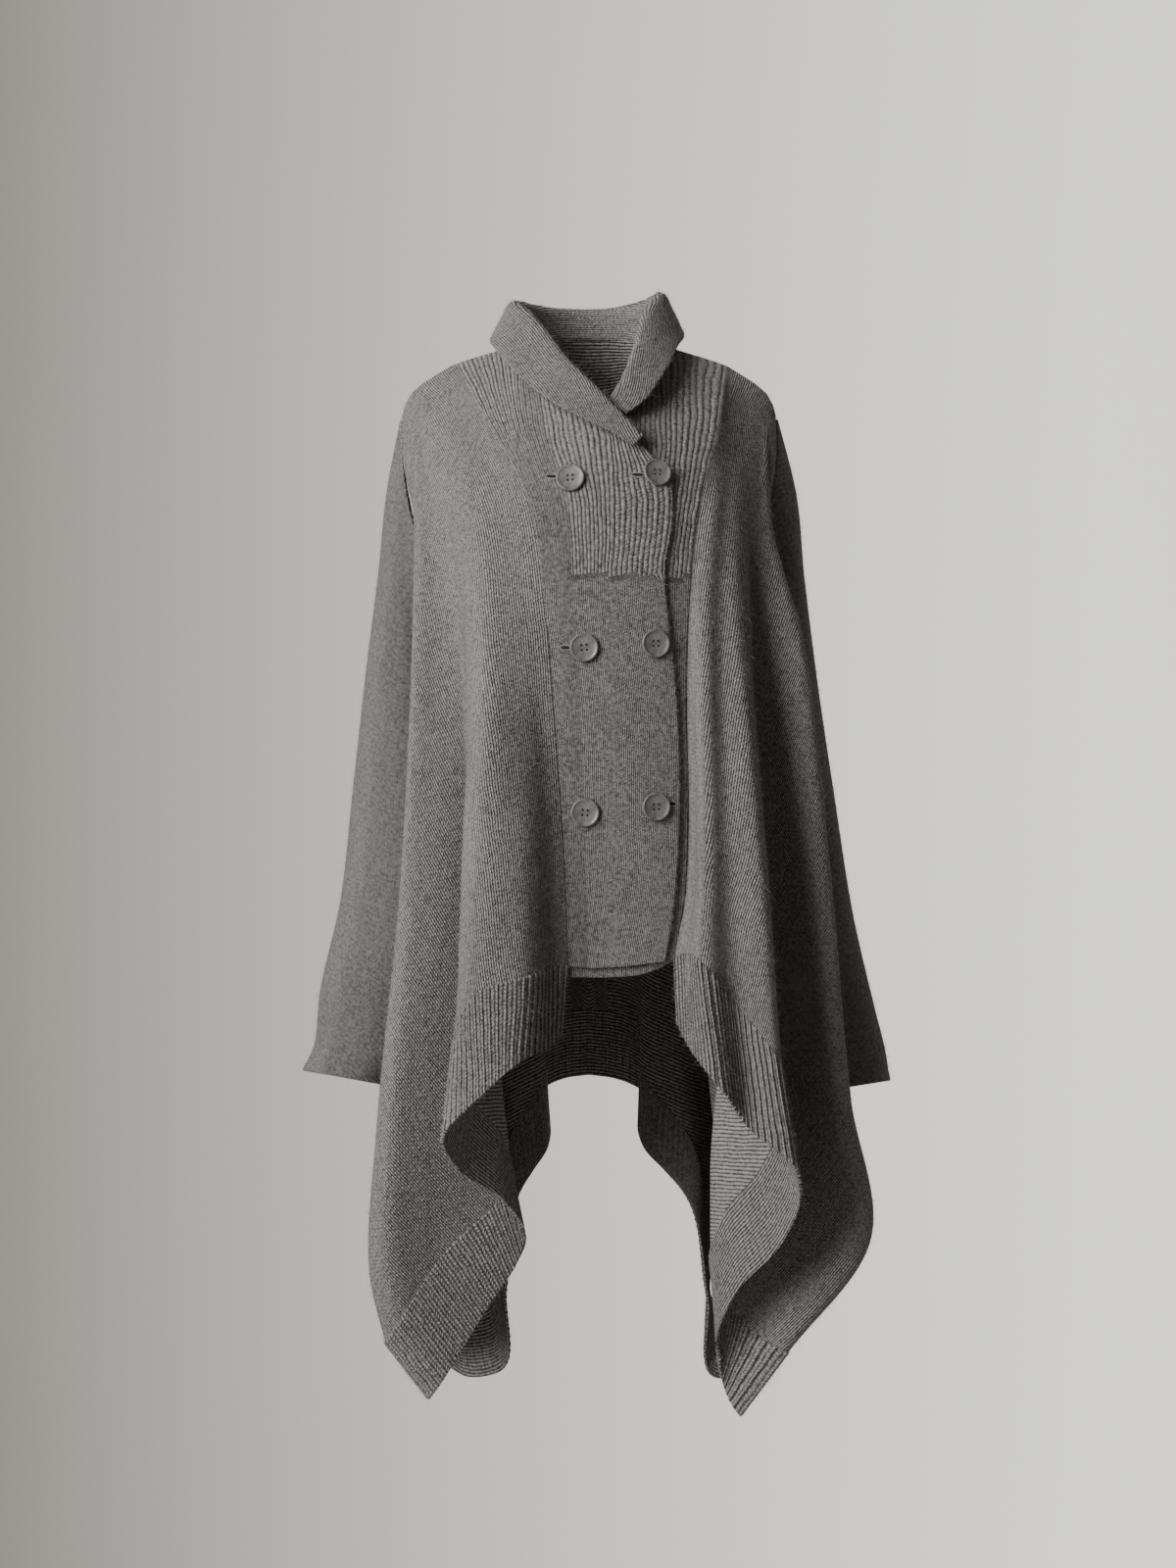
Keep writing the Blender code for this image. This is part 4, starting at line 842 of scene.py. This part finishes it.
neck_reach = -SHOULDER_ACROSS[0] * MM
neck_edge = neckline(((right, right_normal, neck_reach), (back, back_normal, neck_reach),
                      (left, left_normal, COLLAR_CROSSING)))
strip, strip_normal = collar_grid(neck_edge)
down, across = step_places(strip, 0, COLLAR_STEP_ALONG), step_places(strip, 1, COLLAR_STEP_ACROSS)
fine, fine_normal = fine_cloth(strip, strip_normal, down, across)
width, length = lengths(fine)
ridge = (0.5 - 0.5 * np.cos(2 * math.pi * width / PLAIN_STITCH[0])) * COLLAR_RIB_HEIGHT
collar_piece = cloth("shawl_collar", "collar", fine, fine_normal, ridge, np.stack([width, length], axis=-1),
                     plain_face, plain_face)


# Buttons: six turned discs of grey horn with a raised rim, a dished middle and four holes,
# sewn on through the overlap, with the holes set square.
BUTTON_RADIUS = 14.0 * MM
BUTTON_THICKNESS = 3.4 * MM
BUTTON_RIM_WIDTH = 2.2 * MM
BUTTON_DISH_DEPTH = 1.0 * MM
BUTTON_STAND = 0.5 * MM    # shank of thread between the cloth and a button
# Across and up, in mm as read from in front.
BUTTONS = ((-18.5, -114.5), (68, -109), (-5, -285.7), (67, -281.6), (-4, -454), (67.6, -448))
YOKE_RIB_DIES = (124, 312)     # mm below the neck, where the rib under the buttons starts and ends to fade
BUTTON_SIDES = 48
HOLE_OFFSET = 2.5 * MM     # from the middle, both ways
HOLE_RADIUS = 1.1 * MM
DRILL_TOP, DRILL_BOTTOM, DRILL_SIDES = 6 * MM, -3 * MM, 16
HORN = (0.16, 0.155, 0.148)
HORN_DARK, HORN_LIGHT = (0.095, 0.092, 0.086), (0.225, 0.22, 0.207)
BUTTON_SHARP_EDGE = math.radians(40)
horn = plain_material("grey_horn", HORN, 0.34)
horn_tree = horn.node_tree
horn_noise = horn_tree.nodes.new("ShaderNodeTexNoise")
horn_noise.inputs["Scale"].default_value = 160
horn_noise.inputs["Detail"].default_value = 3
horn_where = horn_tree.nodes.new("ShaderNodeTexCoord")
horn_tree.links.new(horn_where.outputs["Object"], horn_noise.inputs["Vector"])
horn_ramp = horn_tree.nodes.new("ShaderNodeValToRGB")
horn_ramp.color_ramp.elements[0].position = 0.3
horn_ramp.color_ramp.elements[0].color = (*HORN_DARK, 1)
horn_ramp.color_ramp.elements[1].position = 0.75
horn_ramp.color_ramp.elements[1].color = (*HORN_LIGHT, 1)
horn_tree.links.new(horn_noise.outputs["Fac"], horn_ramp.inputs["Fac"])
horn_tree.links.new(horn_ramp.outputs["Color"], horn_tree.nodes["Principled BSDF"].inputs["Base Color"])


def button_place(across, up):
    """Place and facing of a button on the overlap, clear of the ribbed face."""
    reach = BUTTON_RADIUS / MM
    around = [on_chest((across + a * reach, up + b * reach), 1)
              for a, b in ((0, 0), (1, 0), (-1, 0), (0, 1), (0, -1))]
    out = unit(np.cross(around[1] - around[2], around[3] - around[4]))
    ribbed = YOKE_RIB_HEIGHT * float(np.interp(-up, YOKE_RIB_DIES, (1, 0)))
    return around[0] + out * (WALL + ribbed + BUTTON_STAND), out


def turned_disc(profile, sides):
    """A closed turned mesh of (radius, height) pairs that start and end on the axis."""
    mesh = bmesh.new()
    rings = []
    for radius, height in profile[1:-1]:
        rings.append([mesh.verts.new((radius * math.cos(2 * math.pi * i / sides),
                                      radius * math.sin(2 * math.pi * i / sides), height))
                      for i in range(sides)])
    for upper, lower in zip(rings, rings[1:]):
        for i in range(sides):
            k = (i + 1) % sides
            mesh.faces.new((upper[i], lower[i], lower[k], upper[k]))
    mesh.faces.new(rings[0])
    mesh.faces.new(rings[-1][::-1])
    bmesh.ops.recalc_face_normals(mesh, faces=mesh.faces)
    made = bpy.data.meshes.new("disc")
    mesh.to_mesh(made)
    mesh.free()
    return made


rim = BUTTON_RADIUS - BUTTON_RIM_WIDTH
dish = BUTTON_THICKNESS - BUTTON_DISH_DEPTH
button_profile = [(0, dish - 0.25 * MM), (5.5 * MM, dish - 0.22 * MM), (rim - 2.0 * MM, dish - 0.05 * MM),
                  (rim - 0.8 * MM, dish + 0.15 * MM), (rim - 0.1 * MM, BUTTON_THICKNESS - 0.35 * MM),
                  (rim + 0.5 * MM, BUTTON_THICKNESS - 0.04 * MM), (rim + 1.1 * MM, BUTTON_THICKNESS),
                  (BUTTON_RADIUS - 0.5 * MM, BUTTON_THICKNESS - 0.3 * MM),
                  (BUTTON_RADIUS - 0.1 * MM, BUTTON_THICKNESS * 0.72),
                  (BUTTON_RADIUS, BUTTON_THICKNESS * 0.5),
                  (BUTTON_RADIUS - 0.4 * MM, BUTTON_THICKNESS * 0.22), (BUTTON_RADIUS - 1.4 * MM, 0), (0, 0)]
disc_mesh = turned_disc(button_profile, BUTTON_SIDES)
blank = bpy.data.objects.new("button_blank", disc_mesh)
scene.collection.objects.link(blank)
drills = []
for a, b in ((1, 1), (-1, 1), (-1, -1), (1, -1)):
    drill_mesh = turned_disc([(0, DRILL_TOP), (HOLE_RADIUS, DRILL_TOP), (HOLE_RADIUS, DRILL_BOTTOM),
                              (0, DRILL_BOTTOM)], DRILL_SIDES)
    drill = bpy.data.objects.new("drill", drill_mesh)
    drill.location = (a * HOLE_OFFSET, b * HOLE_OFFSET, 0)
    scene.collection.objects.link(drill)
    cut = blank.modifiers.new("hole", "BOOLEAN")
    cut.object = drill
    cut.operation = "DIFFERENCE"
    drills.append(drill)
bpy.context.view_layer.update()
graph = bpy.context.evaluated_depsgraph_get()
button_mesh = bpy.data.meshes.new_from_object(blank.evaluated_get(graph))
for spare in [blank] + drills:
    bpy.data.objects.remove(spare, do_unlink=True)
button_mesh.materials.clear()
button_mesh.materials.append(horn)
button_mesh.shade_smooth()
button_mesh.set_sharp_from_angle(angle=BUTTON_SHARP_EDGE)
BUTTON_TURNS = (4, -3, 6, 2, -5, 3)       # each is sewn on at its own angle, in degrees
for number, ((across_mm, up_mm), turn) in enumerate(zip(BUTTONS, BUTTON_TURNS), 1):
    place, out = button_place(across_mm, up_mm)
    facing_turn = Vector(out).to_track_quat("Z", "Y").to_matrix().to_4x4()
    piece = bpy.data.objects.new(f"horn_button_{number}", button_mesh)
    piece.matrix_world = facing_turn
    piece.rotation_euler.rotate_axis("Z", math.radians(turn))
    piece.location = place
    scene.collection.objects.link(piece)
    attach(piece, "root")
    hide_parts(f"button_{number}")


# Buttonholes: short slits in the overlap, each worked round with the same wool as the coat.
# Four of the six show beside their buttons, and the buttons' edges hide the other two.
# Across, up and half the length, in mm as read from in front.
SLITS = ((-37.5, -112.5, 6.0), (49.0, -111.0, 7.0), (-24.0, -286.0, 5.5), (84.0, -445.0, 4.0))
SLIT_HALF_HEIGHT = 2.2 * MM
SLIT_SUNK = 0.1 * MM       # the cord's middle line lies this far under the cloth's face
SHADOW_RISE = 0.5 * MM     # of the dark inside, over that line
CORD_RADIUS = 0.7 * MM
SLIT_POINTS, CORD_SIDES = 28, 8
slit_dark = plain_material("buttonhole_shadow", (0.012, 0.012, 0.011), 1.0)
for number, (across_mm, up_mm, half_length) in enumerate(SLITS, 1):
    mesh = bmesh.new()
    centre, out = button_place(across_mm, up_mm)
    centre = centre - out * (BUTTON_STAND + SLIT_SUNK)
    along = unit(on_chest((across_mm + 5, up_mm), 1) - on_chest((across_mm - 5, up_mm), 1))
    upward = np.cross(along, out)
    middles, rings = [], []
    for k in range(SLIT_POINTS):
        turn = 2 * math.pi * k / SLIT_POINTS
        oval = along * half_length * MM * math.cos(turn) + upward * SLIT_HALF_HEIGHT * math.sin(turn)
        middles.append(centre + oval)
        away = unit(along * math.cos(turn) * 0.5 + upward * math.sin(turn))
        rings.append([mesh.verts.new(middles[k] + CORD_RADIUS * (away * math.cos(a) + out * math.sin(a)))
                      for a in np.linspace(0, 2 * math.pi, CORD_SIDES + 1)[:-1]])
    for k in range(SLIT_POINTS):
        first, second = rings[k], rings[(k + 1) % SLIT_POINTS]
        for j in range(CORD_SIDES):
            after = (j + 1) % CORD_SIDES
            mesh.faces.new((first[j], second[j], second[after], first[after]))
    bmesh.ops.recalc_face_normals(mesh, faces=mesh.faces)
    shadow = mesh.faces.new([mesh.verts.new(middle + out * SHADOW_RISE) for middle in middles])
    shadow.material_index = 1
    made = bpy.data.meshes.new(f"buttonhole_{number}")
    mesh.to_mesh(made)
    mesh.free()
    made.materials.append(plain_face)
    made.materials.append(slit_dark)
    made.shade_smooth()
    piece = bpy.data.objects.new(f"buttonhole_{number}", made)
    scene.collection.objects.link(piece)
    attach(piece, "root")


# Mohair halo: the long fibres that stand off the brushed yarn all over the coat,
# under 0.2 mm thick, some 3 to 12 mm long, made as thin ribbons with a soft bend.
FIBRE_HALF_WIDTH = 0.08 * MM
SHORTEST_FIBRE, LONGEST_FIBRE = 3.0 * MM, 12.0 * MM
SHORTNESS = 2.2            # a power: over 1, most of the fibres are short ones
ROOT_RISE, ROOT_LEAN = 0.55, 0.75      # how far a fibre's lower half stands off and lies over, of its length
TIP_RISE, TIP_LEAN = 0.30, 0.7         # and its upper half
TIP_STRAY = 0.5            # how far the upper half turns from the lower one
FIBRE_DROOP = np.array([0, 0, -0.25])
TAPER = (1, 0.9, 0.35)     # of a fibre's width at its root, its middle and its tip
# Fibres a square metre.
FIBRES_PER_AREA = {"front_right": 90000, "front_left": 90000, "wing_right": 62000, "wing_left": 62000,
                   "back": 30000, "band_right": 80000, "band_left": 80000, "band_back": 50000,
                   "sleeve_right": 80000, "sleeve_left": 80000, "collar": 90000}
fibre = plain_material("mohair_fibre", (0.30, 0.29, 0.27), 0.8)
fibre.node_tree.nodes["Principled BSDF"].inputs["Sheen Weight"].default_value = 0.4
chance = np.random.default_rng(41)
for node, high in outer_points.items():
    a, b, d = high[:-1, :-1], high[:-1, 1:], high[1:, :-1]
    cell = np.cross(b - a, d - a)
    area = np.linalg.norm(cell, axis=-1).reshape(-1)
    count = int(area.sum() * FIBRES_PER_AREA[node] * (1))
    pick = chance.choice(len(area), count, p=area / area.sum())
    s, t = chance.random((2, count, 1))
    a, b, d = (x.reshape(-1, 3)[pick] for x in (a, b, d))
    root = a + (b - a) * s + (d - a) * t
    out = unit(np.cross(d - a, b - a)) * outward_sign[node]
    lean = unit(chance.normal(size=(count, 3)))
    lean -= out * (lean * out).sum(axis=1, keepdims=True)
    tip_lean = lean + chance.normal(size=(count, 3)) * TIP_STRAY
    reach = SHORTEST_FIBRE + (LONGEST_FIBRE - SHORTEST_FIBRE) * chance.random((count, 1)) ** SHORTNESS
    knee = root + (out * ROOT_RISE + lean * ROOT_LEAN) * reach * 0.5
    tip = knee + (out * TIP_RISE + tip_lean * TIP_LEAN + FIBRE_DROOP) * reach * 0.5
    wide = unit(np.cross(tip - root, chance.normal(size=(count, 3)))) * FIBRE_HALF_WIDTH
    stops = [place + sign * wide * share
             for place, share in zip((root, knee, tip), TAPER) for sign in (-1, 1)]
    points = np.stack(stops, axis=1).reshape(-1, 3)
    first = np.arange(count)[:, None] * 6
    faces = np.concatenate([first + np.array([0, 1, 3, 2]), first + np.array([2, 3, 5, 4])])
    mesh = bpy.data.meshes.new("halo_" + node)
    mesh.from_pydata(points.tolist(), [], faces.tolist())
    mesh.materials.append(fibre)
    halo = bpy.data.objects.new("halo_" + node, mesh)
    scene.collection.objects.link(halo)
    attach(halo, "root")
